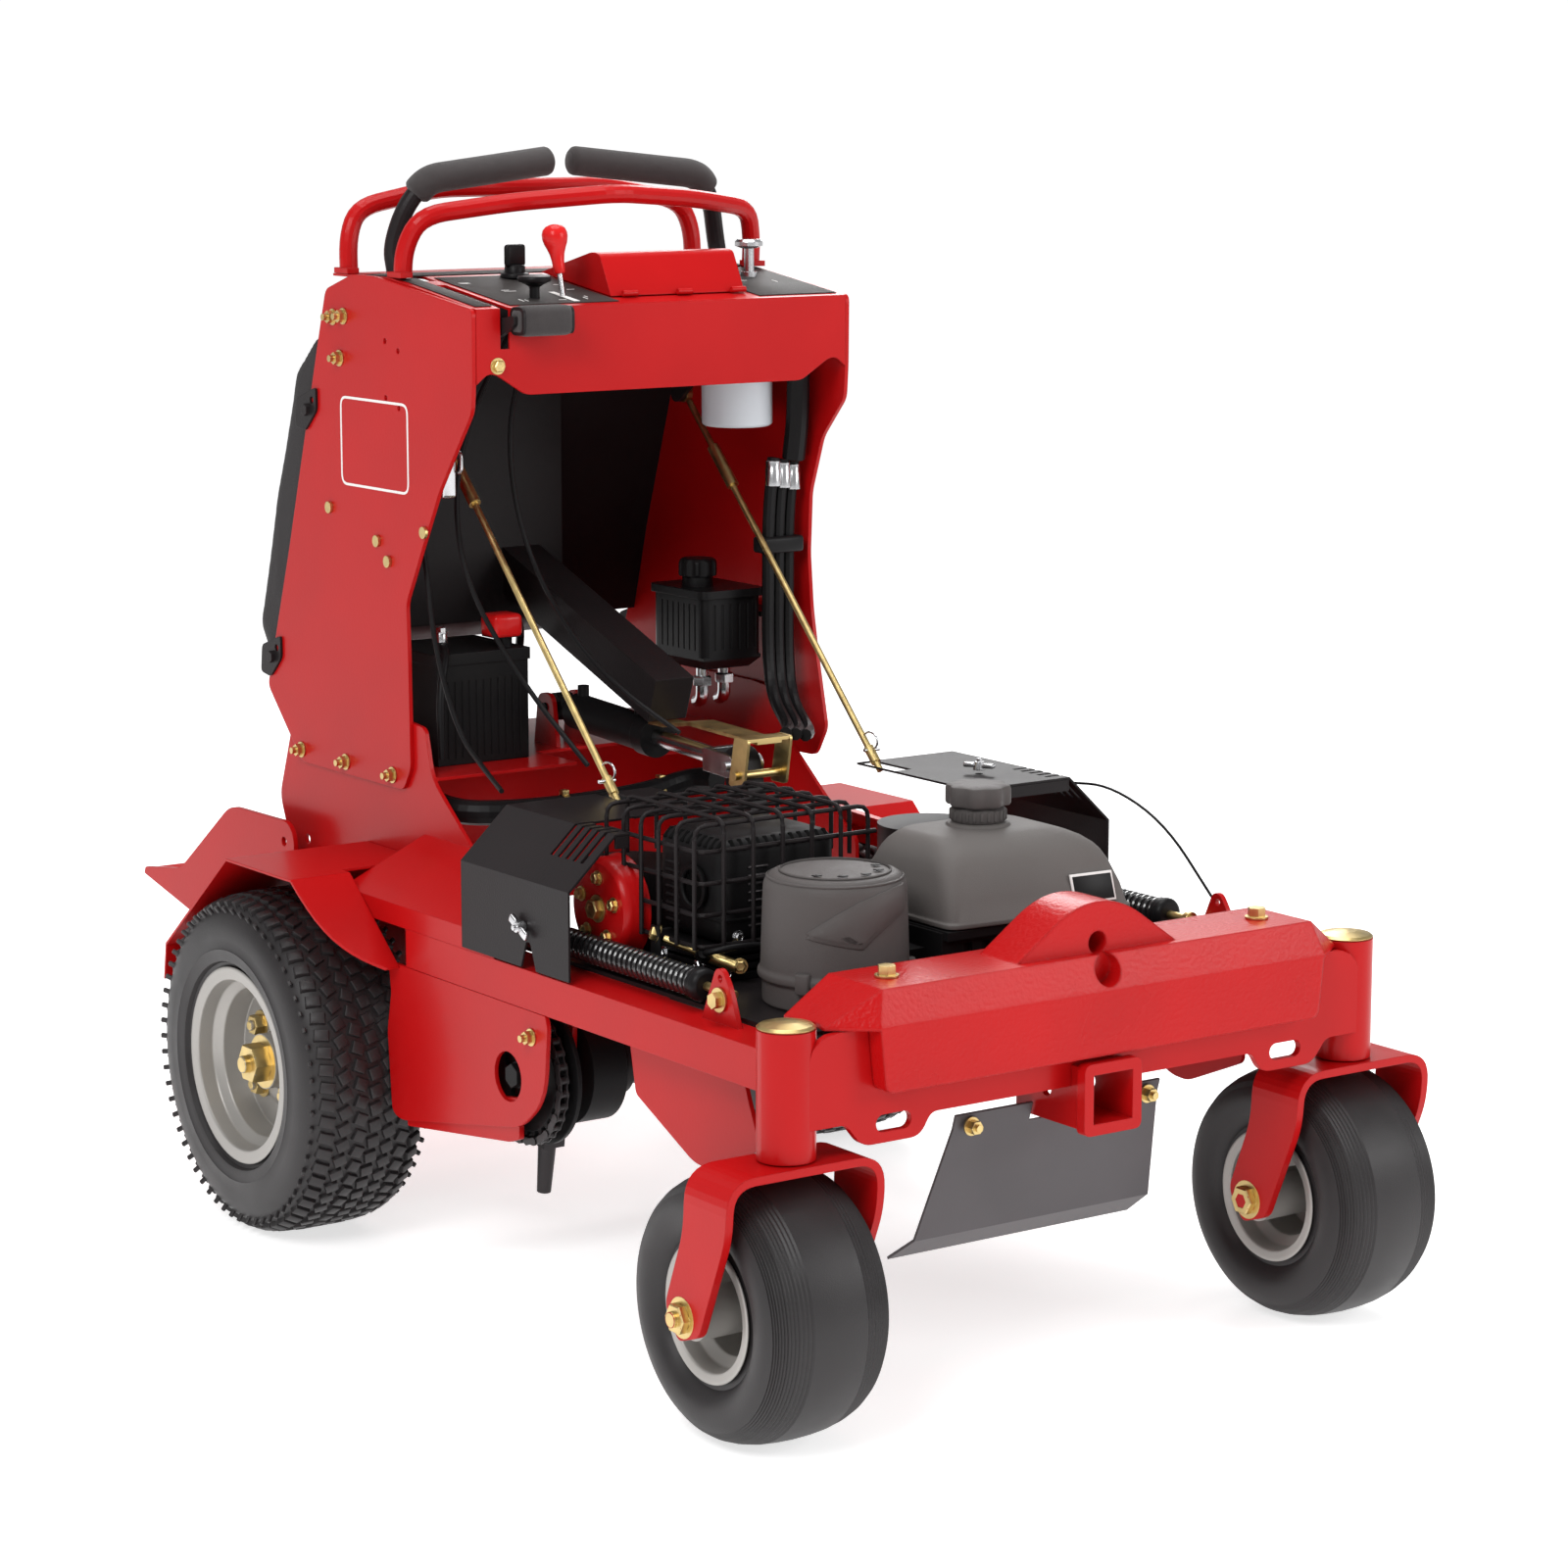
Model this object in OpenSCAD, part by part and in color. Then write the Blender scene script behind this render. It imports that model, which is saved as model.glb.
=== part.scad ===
// Stand-on turf aerator with zero-turn steering, in millimetres.
// X runs across the machine, +Y points to the rear, +Z is up.
// Lengths along the machine are measured back from the caster swivel line,
// or from the drive axle for everything behind the engine.

/* [Overall] */
// Distance from the caster swivel line back to the drive axle
wheelbase = 1000; // [900:10:1200]
// Distance between the two caster swivel axes
caster_track = 744; // [640:4:900]
// Distance between the middles of the two drive tyres
drive_track = 769; // [740:4:920]
// Width of the control tower over its side plates
tower_w = 524; // [440:4:530]
// Height of the tower's front top edge above the ground
tower_h = 1094; // [980:2:1320]

/* [Wheels] */
// Outer diameter of a drive tyre
drive_tyre_d = 406; // [380:2:430]
// Width of a drive tyre
drive_tyre_w = 165; // [140:1:175]
// Outer diameter of a caster tyre
caster_tyre_d = 282; // [250:2:290]
// Width of a caster tyre
caster_tyre_w = 150; // [120:1:160]
// How far a caster axle sits behind its swivel axis
caster_trail = 44; // [20:1:60]
// Diameter of a caster fork's stem
stem_d = 32; // [25:1:38]

/* [Frame] */
// Width of a frame rail
rail_w = 50; // [40:1:60]
// Height of a frame rail
rail_h = 44; // [40:1:60]
// Underside of the frame rails above the ground
rail_z = 355; // [345:1:370]
// Wall of the frame tubes
rail_wall = 4; // [3:0.5:6]
// Outer diameter of a caster tube
swivel_tube_d = 60; // [55:1:70]
// Thickness of the plates of the frame and the tower
plate_t = 5; // [4:0.5:7]
// Inside width of the hitch receiver
receiver_in = 52; // [50:1:54]
// Wall of the hitch receiver's tube
receiver_wall = 7; // [5:0.5:8]
// Diameter of the receiver's cross pin hole
receiver_pin_d = 16; // [12:0.5:18]

/* [Front weight] */
// Length of the weight's flat top across the machine
weight_w = 568; // [500:4:600]
// Diameter of the hole in the weight's lifting eye
eye_d = 24; // [18:1:28]

/* [Platform] */
// Width of the operator's platform over its side plates
platform_w = 580; // [560:4:600]
// How far the platform's lip reaches behind the drive axle
platform_reach = 575; // [500:5:640]

/* [Controls] */
// Diameter of the drive levers' tube
lever_d = 22; // [19:1:25]
// Diameter of a foam grip
grip_d = 35; // [32:1:40]
// Diameter of the fixed hand bars
bar_d = 22; // [19:1:25]
// Running clearance round a shaft
fit = 0.05; // [0.02:0.01:0.08]

/* [Hidden] */

red = "#c02328";
black = "#2b2728";
dark_grey = "#4c4a4b";
grey = "#6b6769";
rim_grey = "#8a8785";
zinc = "#b59a5a";
steel = "#b8b8ba";
round_fn = 64;

// The machine's middle lies halfway between the caster tyres' front and the platform's lip.
front_reach = caster_tyre_d / 2 - caster_trail;
mid_y = (wheelbase + platform_reach - front_reach) / 2;
swivel_x = caster_track / 2;
rail_out = swivel_x - 4;
rail_in = rail_out - rail_w;
rail_top = rail_z + rail_h;
drive_x = drive_track / 2;
axle_z = drive_tyre_d / 2;
tower_x = tower_w / 2;
upright_x = tower_x - plate_t;
fork_gap = 12;

function unit(v) = v / norm(v);
function bend(a, b, c, n) =
    [for (i = [0:n]) let (t = i / n) (1 - t) * (1 - t) * a + 2 * t * (1 - t) * b + t * t * c];
// One corner b between a and c, rounded over the length r along both sides
function corner(a, b, c, r, n) =
    let (ra = min(r, norm(a - b) * 0.49), rc = min(r, norm(c - b) * 0.49))
    r == 0 ? [b] : bend(b + ra * unit(a - b), b, b + rc * unit(c - b), n);
function pick(r, i) = is_list(r) ? r[i] : r;
// A closed outline with each corner rounded by r, or by its own entry of r
function soft(p, r, n = 5) = let (m = len(p))
    [for (i = [0:m - 1]) each corner(p[(i + m - 1) % m], p[i], p[(i + 1) % m], pick(r, i), n)];
// An open route with its inner corners rounded
function route(p, r, n = 6) = let (m = len(p))
    [for (i = [0:m - 1]) each (i == 0 || i == m - 1 ? [p[i]] : corner(p[i - 1], p[i], p[i + 1], r, n))];
function shifted(p, d) = [for (q = p) q + d];
// A strip of thickness t along the open outline p, to the left of its direction
function strip(p, t) = let (m = len(p))
    concat(p, [for (i = [m - 1:-1:0])
        let (a = i == 0 ? p[1] - p[0] : p[i] - p[i - 1], b = i == m - 1 ? a : p[i + 1] - p[i],
            na = unit([-a[1], a[0]]), nb = unit([-b[1], b[0]]), s = na + nb)
        p[i] + s * t * 2 / (s * s)]);

module placed(c) color(c) translate([0, -mid_y, 0]) children();
module from_axle() translate([0, wheelbase, 0]) children();
module both_sides() {
    children();
    mirror([1, 0, 0]) children();
}
// An outline in (y, z) made a plate of thickness t, from x towards +X
module side_sheet(outline, x, t) translate([x, 0, 0]) rotate([90, 0, 90]) linear_extrude(t) polygon(outline);
// An outline in (x, z) made a plate of thickness t, from y towards +Y
module cross_sheet(outline, y, t) translate([0, y + t, 0]) rotate([90, 0, 0]) linear_extrude(t)
        polygon(outline);
module block(x0, x1, y0, y1, z0, z1) translate([x0, y0, z0]) cube([x1 - x0, y1 - y0, z1 - z0]);
module rod_x(d, x0, x1, y, z) translate([x0, y, z]) rotate([0, 90, 0])
        cylinder(d = d, h = x1 - x0, $fn = round_fn);
module rod_y(d, x, y0, y1, z) translate([x, y0, z]) rotate([-90, 0, 0])
        cylinder(d = d, h = y1 - y0, $fn = round_fn);
module rod_z(d, x, y, z0, z1) translate([x, y, z0]) cylinder(d = d, h = z1 - z0, $fn = round_fn);
module hex_x(af, x0, x1, y, z) translate([x0, y, z]) rotate([0, 90, 0])
        cylinder(d = af / cos(30), h = x1 - x0, $fn = 6);
module hex_z(af, x, y, z0, z1) translate([x, y, z0]) cylinder(d = af / cos(30), h = z1 - z0, $fn = 6);
module between(a, b) {
    d = b - a;
    translate(a) rotate([0, acos(d[2] / norm(d)), atan2(d[1], d[0])]) children();
}
module bar(a, b, d) between(a, b) cylinder(d = d, h = norm(b - a), $fn = round_fn);
// A profile [radius, x] turned about the line along X through (y, z)
module turned_x(profile, x, y, z) translate([x, y, z]) rotate([0, 90, 0]) rotate_extrude($fn = 96)
        polygon(profile);
// A round tube swept along a smooth route
module swept(p, r, sides = 12, up = [0.13, 0.21, 1]) {
    m = len(p);
    rings = [for (i = [0:m - 1])
        let (t = unit(p[min(i + 1, m - 1)] - p[max(i - 1, 0)]), u = unit(cross(up, t)), v = cross(t, u))
        for (k = [0:sides - 1]) p[i] + r * (cos(360 * k / sides) * u + sin(360 * k / sides) * v)];
    walls = [for (i = [0:m - 2], k = [0:sides - 1])
        let (a = i * sides + k, b = i * sides + (k + 1) % sides) [a, a + sides, b + sides, b]];
    ends = [[for (k = [0:sides - 1]) k], [for (k = [sides - 1:-1:0]) (m - 1) * sides + k]];
    polyhedron(rings, concat(walls, ends), convexity = 4);
}

// ---- Frame ----
weight_y0 = -52;
front_plate_y = -29;
front_plate_t = 8;
cross_y0 = front_plate_y + front_plate_t;
cross_d = 50;
spacer_x = 246;
spacer_y = cross_y0 + cross_d / 2;
plate_top = 426;
swivel_z0 = 299;
swivel_z1 = 431;
tail_y = wheelbase - 245;
cross_rear_y = wheelbase - 500;
hanger_x = 300;
drive_y = -465;
drive_z = 272;
drive_shaft_d = 30;
spring_z = 424;
receiver_z = 318.5;
receiver_out = receiver_in + 2 * receiver_wall;
receiver_top = receiver_z + receiver_out / 2;
ear_x = rail_in + 14;
ear_y = 165;

module front_plate() {
    lug = swivel_x - 72;
    outline = soft([[-swivel_x + 5, 331], [-lug - 20, 331], [-lug, 306], [-lug + 72, 306],
        [-lug + 86, 329], [lug - 86, 329], [lug - 72, 306], [lug, 306], [lug + 20, 331],
        [swivel_x - 5, 331], [swivel_x - 5, plate_top], [-swivel_x + 5, plate_top]],
        [0, 8, 12, 12, 8, 8, 12, 12, 8, 0, 40, 40]);
    difference() {
        cross_sheet(outline, front_plate_y, front_plate_t);
        both_sides() for (x = [lug - 26, lug - 52])
            rod_y(18, x, front_plate_y - 1, cross_y0 + 1, 326);
        both_sides() block(lug - 52, lug - 26, front_plate_y - 1, cross_y0 + 1, 317, 335);
        block(-receiver_out / 2, receiver_out / 2, front_plate_y - 1, cross_y0 + 1, 300, receiver_top);
        both_sides() rod_z(swivel_tube_d - 4, swivel_x, 0, 300, 440);
    }
}

module frame_rail() {
    difference() {
        block(rail_in, rail_out, 0, tail_y, rail_z, rail_top);
        block(rail_in + rail_wall, rail_out - rail_wall, swivel_tube_d, tail_y + 1,
            rail_z + rail_wall, rail_top - rail_wall);
        rod_z(swivel_tube_d - 4, swivel_x, 0, rail_z - 1, rail_top + 1);
    }
}

module swivel_tube() {
    difference() {
        rod_z(swivel_tube_d, swivel_x, 0, swivel_z0, swivel_z1);
        rod_z(stem_d + 2 * fit, swivel_x, 0, swivel_z0 - 1, swivel_z1 - 14);
    }
}

module frame_gusset() {
    outline = soft([[352, rail_z], [338, 288], [228, 237], [201, 236], [106, 276], [127, 322],
        [140, rail_z]], [0, 6, 12, 8, 14, 8, 0]);
    side_sheet(outline, rail_in + 6, plate_t);
}

module spring_ear() {
    outline = soft([[ear_y - 32, rail_top], [ear_y - 18, 436], [ear_y - 4, 456], [ear_y + 8, 456],
        [ear_y + 20, 430], [ear_y + 34, rail_top]], [0, 10, 8, 8, 8, 0]);
    difference() {
        side_sheet(outline, ear_x, 6);
        rod_x(8, ear_x - 1, ear_x + 7, ear_y, spring_z + 22);
        rod_x(10.4, ear_x - 1, ear_x + 7, ear_y, spring_z);
    }
}

// Plate under the rail that carries the tine drive shaft
module hanger() difference() {
    side_sheet(soft([[wheelbase + drive_y - 38, rail_z + 1], [wheelbase + drive_y - 30, 240],
        [wheelbase + drive_y + 30, 240], [wheelbase + drive_y + 38, rail_z + 1]],
                [0, 24, 24, 0]), hanger_x, 6);
    rod_x(drive_shaft_d + 2 * fit, hanger_x - 1, hanger_x + 7, wheelbase + drive_y, drive_z);
}

module main_frame() placed(red) {
    difference() {
        union() {
            front_plate();
            block(-rail_in - 1, rail_in + 1, cross_y0, cross_y0 + cross_d, rail_z, rail_top);
            block(-rail_in - 1, rail_in + 1, cross_rear_y - cross_d, cross_rear_y, rail_z, rail_top);
            both_sides() block(hanger_x, rail_in + 1, wheelbase + drive_y - 38, wheelbase + drive_y + 38,
                    rail_z, rail_z + 6);
        }
        both_sides() rod_z(13, spacer_x, spacer_y, rail_z - 1, plate_top + 1);
        both_sides() rod_z(swivel_tube_d - 4, swivel_x, 0, rail_z - 1, rail_top + 1);
    }
    both_sides() {
        difference() {
            rod_z(40, spacer_x, spacer_y, rail_top - 1, plate_top);
            rod_z(13, spacer_x, spacer_y, rail_z, plate_top + 1);
        }
        frame_rail();
        swivel_tube();
        frame_gusset();
        spring_ear();
        hanger();
        // Outrigger to the upright plate
        block(upright_x, rail_in + 1, tail_y - 17, tail_y, rail_z, rail_top);
    }
}

module hitch_receiver() placed(red) {
    collar = receiver_out + 10;
    difference() {
        union() {
            cross_sheet(soft([[-collar / 2, receiver_z - collar / 2], [collar / 2, receiver_z - collar / 2],
                [collar / 2, receiver_z + collar / 2], [-collar / 2, receiver_z + collar / 2]], 9), -57, 13);
            block(-receiver_out / 2, receiver_out / 2, -45, 62, receiver_z - receiver_out / 2, receiver_top);
            block(-receiver_out / 2, receiver_out / 2, cross_y0, cross_y0 + cross_d, receiver_top - 1,
                    rail_z);
        }
        block(-receiver_in / 2, receiver_in / 2, -60, 70, receiver_z - receiver_in / 2,
                receiver_z + receiver_in / 2);
        rod_x(receiver_pin_d, -receiver_out, receiver_out, 12, receiver_z);
    }
}

// ---- Front weight ----
weight_top = 466;
weight_low = plate_top + 1;
lip_z = 362;
eye_z = 476;
module weight_slab() {
    half = weight_w / 2;
    hull() {
        block(-half, half, -40, 51, weight_top - 1, weight_top);
        linear_extrude(weight_low + 3) polygon([[-half - 10, weight_y0], [half + 10, weight_y0],
            [half + 55, -18], [half + 55, 51], [-half - 55, 51], [-half - 55, -18]]);
    }
}
module front_weight() placed(red) {
    half = weight_w / 2;
    difference() {
        union() {
            intersection() {
                weight_slab();
                block(-half - 60, half + 60, weight_y0 - 1, 52, weight_low, weight_top + 1);
            }
            cross_sheet(soft([[-half - 3, lip_z], [half + 3, lip_z], [half + 10, weight_low + 1],
                [-half - 10, weight_low + 1]], [10, 10, 0, 0]), weight_y0, -weight_y0 + front_plate_y - 1);
            cross_sheet(soft([[-108, weight_top - 2], [108, weight_top - 2], [30, 519], [-30, 519]],
                [0, 0, 34, 34], 8), -28, 62);
        }
        rod_y(eye_d, 0, -60, 60, eye_z);
        rod_y(34, 0, weight_y0 - 1, -28, weight_top - 16);
        both_sides() rod_z(13, spacer_x, spacer_y, weight_low - 1, weight_top + 1);
        both_sides() rod_z(swivel_tube_d + 12, swivel_x, 0, weight_low - 1, weight_top + 1);
    }
}

module front_guard() placed(grey) {
    // A bent sheet that shields the tine drive: upright face, then a lip turned back
    profile = [[30, 300], [72, 160], [112, 132]];
    face = strip(profile, 3);
    difference() {
        intersection() {
            side_sheet(face, -200, 400);
            cross_sheet([[-137, 310], [-137, 285], [-165, 120], [165, 120], [137, 285], [137, 310]], 0, 200);
        }
        both_sides() rod_y(11, 118, 0, 80, 287);
        block(-receiver_out / 2 - 3, receiver_out / 2 + 3, 0, 80, 280, 320);
    }
}

// ---- Chassis behind the engine ----
side_front = -548;
deck_z = 544;
pivot_y = 187;
pivot_z = 424;
upright_out = [[-40, 606], [-104, 600], [-118, 542], [-223, 461], [-262, 440], [-262, rail_top],
        [-190, rail_top],
    [-120, 330], [-100, 140], [70, 140], [170, 250], [228, 404], [256, 470], [222, 560], [196, 606]];
module chassis_side() {
    // Upright plate that carries the tower, the motor and the platform
    difference() {
        side_sheet(soft(upright_out, [0, 10, 20, 20, 12, 0, 20, 30, 30, 40, 20, 30, 14, 14, 0]),
            upright_x - plate_t, plate_t);
        rod_x(64, 0, tower_x, 0, axle_z);
        rod_x(12.4, 0, tower_x, pivot_y, pivot_z);
        for (y = [188, 77, -36]) rod_x(10.4, 0, tower_x, y, 536);
    }
    // Lower plate in line with the rail
    difference() {
        side_sheet(soft([[side_front + 5, rail_z - 0.5], [side_front, 343], [side_front + 8, 259],
            [side_front + 58, 219], [-229, 172], [-208, 178], [-200, 273], [-210, 319], [-205, rail_z - 0.5]],
            [0, 8, 34, 20, 14, 10, 8, 6, 0]), rail_out - plate_t, plate_t);
        rod_x(56, 0, rail_out + 1, drive_y, drive_z);
        rod_x(10.4, 0, rail_out + 1, -515, 326);
    }
    // Shelf that runs down and outwards from the upright to the rail
    intersection() {
        cross_sheet(strip([[rail_out, rail_top], [rail_out, 424], [upright_x, 474]], plate_t), -440, 360);
        side_sheet([[-440, rail_top], [-395, rail_top], [-100, rail_top], [-100, 475], [-200, 478],
            [-330, 450]], 0, rail_out + 1);
    }
    // Doubler along the foot of the lower plate
    side_sheet(soft([[-480, 203], [-460, 196], [-235, 166], [-235, 210], [-480, 250]], 4),
        rail_out - 2 * plate_t - 1, plate_t + 1.5);
}
module chassis_sides() placed(red) from_axle() {
    both_sides() chassis_side();
    difference() {
        block(-upright_x + plate_t, upright_x - plate_t, -125, 190, deck_z - 4, deck_z);
        block(-60, 60, -126, -30, deck_z - 5, deck_z + 1);
    }
    // Ears that hold the lift cylinder's rear pin
    both_sides() difference() {
        side_sheet(soft([[lift_top[1] - 26, deck_z - 1], [lift_top[1] - 16, lift_top[2] + 18],
                [lift_top[1] + 16, lift_top[2] + 18],
            [lift_top[1] + 26, deck_z - 1]], [0, 14, 14, 0]), 18, 6);
        rod_x(12 + 2 * fit, 17, 25, lift_top[1], lift_top[2]);
    }
    both_sides() block(upright_x - plate_t - 30, upright_x - plate_t, 60, 64, 160, deck_z - 4);
    block(-upright_x + plate_t, upright_x - plate_t, 60, 64, 400, deck_z - 4);
}

fender_out = 447;
module fender() {
    profile = [[206, 268], [199, 312], [38, 441], [-118, 441], [-229, 350]];
    intersection() {
        side_sheet(strip(profile, -3), tower_x - 4.5, fender_out - tower_x + 4.5);
        translate([0, 0, -300]) linear_extrude(800) polygon(soft([[tower_x - 4.5, 210], [fender_out, 210],
            [fender_out, -150], [fender_out - 22, -205], [rail_out + 0.5, -240], [tower_x - 4.5, -240]],
            [0, 0, 60, 40, 0, 0]));
    }
}
module fenders() placed(red) from_axle() both_sides() difference() {
    fender();
    // Cut clear of the shelf and the lower plate
    block(tower_x - 5, rail_out + 0.5, -300, -99.5, 250, 500);
}

module engine_deck() placed(black) {
    difference() {
        block(-rail_in + 1, rail_in - 1, 62, wheelbase - 402, rail_top + 0.5, rail_top + 5);
        block(-24, 24, wheelbase - 495, wheelbase - 401, rail_top, rail_top + 6);
    }
    // Pump housings under the belt covers
    both_sides() rod_z(120, 205, wheelbase - 470, rail_top + 5.2, rail_top + 96);
}

// ---- Fasteners ----
module nut_out(x, y, z, af = 13) {
    rod_x(af * 1.5, x, x + 1.6, y, z);
    hex_x(af, x + 1.6, x + 9, y, z);
    rod_x(af * 0.62, x + 9, x + 15, y, z);
}
module wing_nut(x, y, z) translate([x, y, z]) {
    rotate([0, 90, 0]) cylinder(d1 = 13, d2 = 10, h = 9, $fn = 32);
    for (s = [-1, 1]) rotate([28, 0, 0]) translate([3, s * 12 - 6, -4]) cube([4, 12, 8]);
}
module fasteners() placed(zinc) {
    both_sides() {
        // Weight bolts, down through the spacers
        rod_z(12, spacer_x, spacer_y, rail_z - 8, weight_top + 1);
        rod_z(25, spacer_x, spacer_y, weight_top + 0.3, weight_top + 2.5);
        hex_z(17, spacer_x, spacer_y, weight_top + 2, weight_top + 12);
        hex_z(17, spacer_x, spacer_y, rail_z - 10, rail_z - 0.3);
        // Domed caps of the swivel tubes
        translate([swivel_x, 0, swivel_z1 + 0.3]) rotate_extrude($fn = 64)
            polygon([[0, 0], [swivel_tube_d / 2 - 1, 0], [swivel_tube_d / 2, 1.5], [swivel_tube_d / 2 - 3, 4],
                [12, 7], [0, 8]]);
        // Guard bolts
        rod_y(20, 118, 27, 29, 287);
        translate([118, 18, 287]) rotate([-90, 0, 0]) cylinder(d = 15, h = 9, $fn = 6);
        rod_y(8, 118, 14, 18, 287);
        // Spring bolt
        rod_x(26, ear_x + 6.3, ear_x + 9, ear_y, spring_z);
        hex_x(15, ear_x + 9, ear_x + 17, ear_y, spring_z);
        // Platform pivots, tower foot, lower plate and hand bar bolts
        from_axle() {
            nut_out(rail_out + 0.2, -515, 326);
            for (y = [188, 77, -36]) nut_out(tower_x + 0.2, y, 536);
            for (p = [[63, -22], [88, -24], [74, -72]]) nut_out(tower_x + 0.2, p[0], tower_h + p[1]);
            for (p = [[-10, 812], [-35, 790], [-120, 832], [104, 842]])
                    rod_x(14, tower_x + 0.2, tower_x + 4, p[0], p[1]);
        }
    }
    // Wing nuts of the belt covers
    from_axle() {
        mirror([1, 0, 0]) wing_nut(rail_out + 5, -508, 448);
        translate([240, -520, 561]) rotate([0, -90, 0]) wing_nut(0, 0, 0);
    }
}

// ---- Casters ----
fork_bar = 9;
fork_w = 74;
fork_top = swivel_z0 - 1.5;
fork_half = caster_tyre_w / 2 + fork_gap + fork_bar;
fork_axle_d = 16;
caster_rim_r = 74;
module caster_fork() {
    crown_z = fork_top - fork_bar;
    low = caster_tyre_d / 2 - 26;
    // Cross-section of the bent bar, seen from the front
    arch = soft([[-fork_half, low], [-fork_half + fork_bar, low], [-fork_half + fork_bar, crown_z],
        [fork_half - fork_bar, crown_z], [fork_half - fork_bar, low], [fork_half, low],
        [fork_half, fork_top], [-fork_half, fork_top]], [0, 0, 26, 26, 0, 0, 36, 36], 8);
    // Side shape of the bar: a flat crown, then legs that lean back to the axle
    leg = soft([[-fork_w / 2, fork_top + 1], [fork_w / 2, fork_top + 1], [fork_w / 2 + 4, 230],
        [caster_trail + 30, caster_tyre_d / 2 + 6], [caster_trail + 6, low], [caster_trail - 30, low + 12],
        [-fork_w / 2 + 4, 238]], [0, 0, 20, 12, 8, 10, 20], 6);
    difference() {
        intersection() {
            cross_sheet(arch, -80, 200);
            side_sheet(leg, -fork_half - 1, 2 * fork_half + 2);
        }
        rod_x(fork_axle_d + 0.4, -fork_half - 1, fork_half + 1, caster_trail, caster_tyre_d / 2);
    }
    rod_z(stem_d, 0, 0, fork_top - 1, swivel_z1 - 16);
    rod_z(stem_d + 14, 0, 0, fork_top - 0.5, swivel_z0 - 0.4);
    // Axle bolt with its nut
    rod_x(fork_axle_d, -fork_half - 14, fork_half + 2, caster_trail, caster_tyre_d / 2);
    hex_x(24, -fork_half - 9, -fork_half - 0.2, caster_trail, caster_tyre_d / 2);
    hex_x(24, fork_half + 0.2, fork_half + 9, caster_trail, caster_tyre_d / 2);
}
function tyre_half(r, w, bead, t) = soft([[bead, w / 2 - 13], [bead + 14, w / 2 - 13], [bead + 24, w / 2 - 3],
    [(bead + r) / 2 + 8, w / 2], [r - 12, w / 2 - 10], [r, w / 4], [r, -w / 4], [r - 12, -w / 2 + 10],
    [(bead + r) / 2 + 8, -w / 2], [bead + 24, -w / 2 + 3], [bead + 14, -w / 2 + 13], [bead, -w / 2 + 13],
    [bead, -w / 2 + 13 + t], [bead + 18, -w / 2 + 14 + t], [(bead + r) / 2 + 6, -w / 2 + t],
    [r - t, -w / 4], [r - t, w / 4], [(bead + r) / 2 + 6, w / 2 - t], [bead + 18, w / 2 - 14 - t],
    [bead, w / 2 - 13 - t]],
    [0, 4, 10, 26, 18, 20, 20, 18, 26, 10, 4, 0, 0, 4, 16, 16, 16, 16, 4, 0], 6);
// Half-section of a pressed rim: flanges, bead seats, drop centre and disc
function rim_shape(flange, half, seat, disc_x, hub_r) = soft([[seat, half], [flange - 2, half + 1],
        [flange, half + 4],
    [flange - 3, half + 5], [seat - 3, half + 3], [seat - 5, half - 16], [seat - 16, half - 24],
    [seat - 16, disc_x + 3], [hub_r + 22, disc_x + 3], [hub_r + 14, disc_x + 8], [hub_r, disc_x + 8],
            [hub_r, disc_x + 4],
    [hub_r + 12, disc_x + 4], [hub_r + 20, disc_x - 1], [seat - 16, disc_x - 1], [seat - 16, -half + 24],
    [seat - 5, -half + 16], [seat - 3, -half - 3], [flange - 3, -half - 5], [flange, -half - 4],
    [flange - 2, -half - 1], [seat, -half], [seat - 1, -half + 14], [seat - 12, -half + 24],
    [seat - 12, half - 24], [seat - 1, half - 14]], 2, 3);
module caster_wheel_at() translate([0, caster_trail, caster_tyre_d / 2]) children();
module caster_tyre() caster_wheel_at()
    turned_x(tyre_half(caster_tyre_d / 2, caster_tyre_w, caster_rim_r - 9, 10), 0, 0, 0);
module caster_rim() caster_wheel_at() {
    turned_x(rim_shape(caster_rim_r, caster_tyre_w / 2 - 12.5, caster_rim_r - 9.5, 4, 26), 0, 0, 0);
    difference() {
        rod_x(52, -caster_tyre_w / 2 - 8, caster_tyre_w / 2 + 8, 0, 0);
        rod_x(fork_axle_d + 2 * fit, -100, 100, 0, 0);
    }
}
module caster_fork_right() placed(red) translate([-swivel_x, 0, 0]) caster_fork();
module caster_fork_left() placed(red) translate([swivel_x, 0, 0]) mirror([1, 0, 0]) caster_fork();
module caster_tyre_right() placed(black) translate([-swivel_x, 0, 0]) caster_tyre();
module caster_tyre_left() placed(black) translate([swivel_x, 0, 0]) caster_tyre();
module caster_rim_right() placed(rim_grey) translate([-swivel_x, 0, 0]) caster_rim();
module caster_rim_left() placed(rim_grey) translate([swivel_x, 0, 0]) caster_rim();

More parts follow.
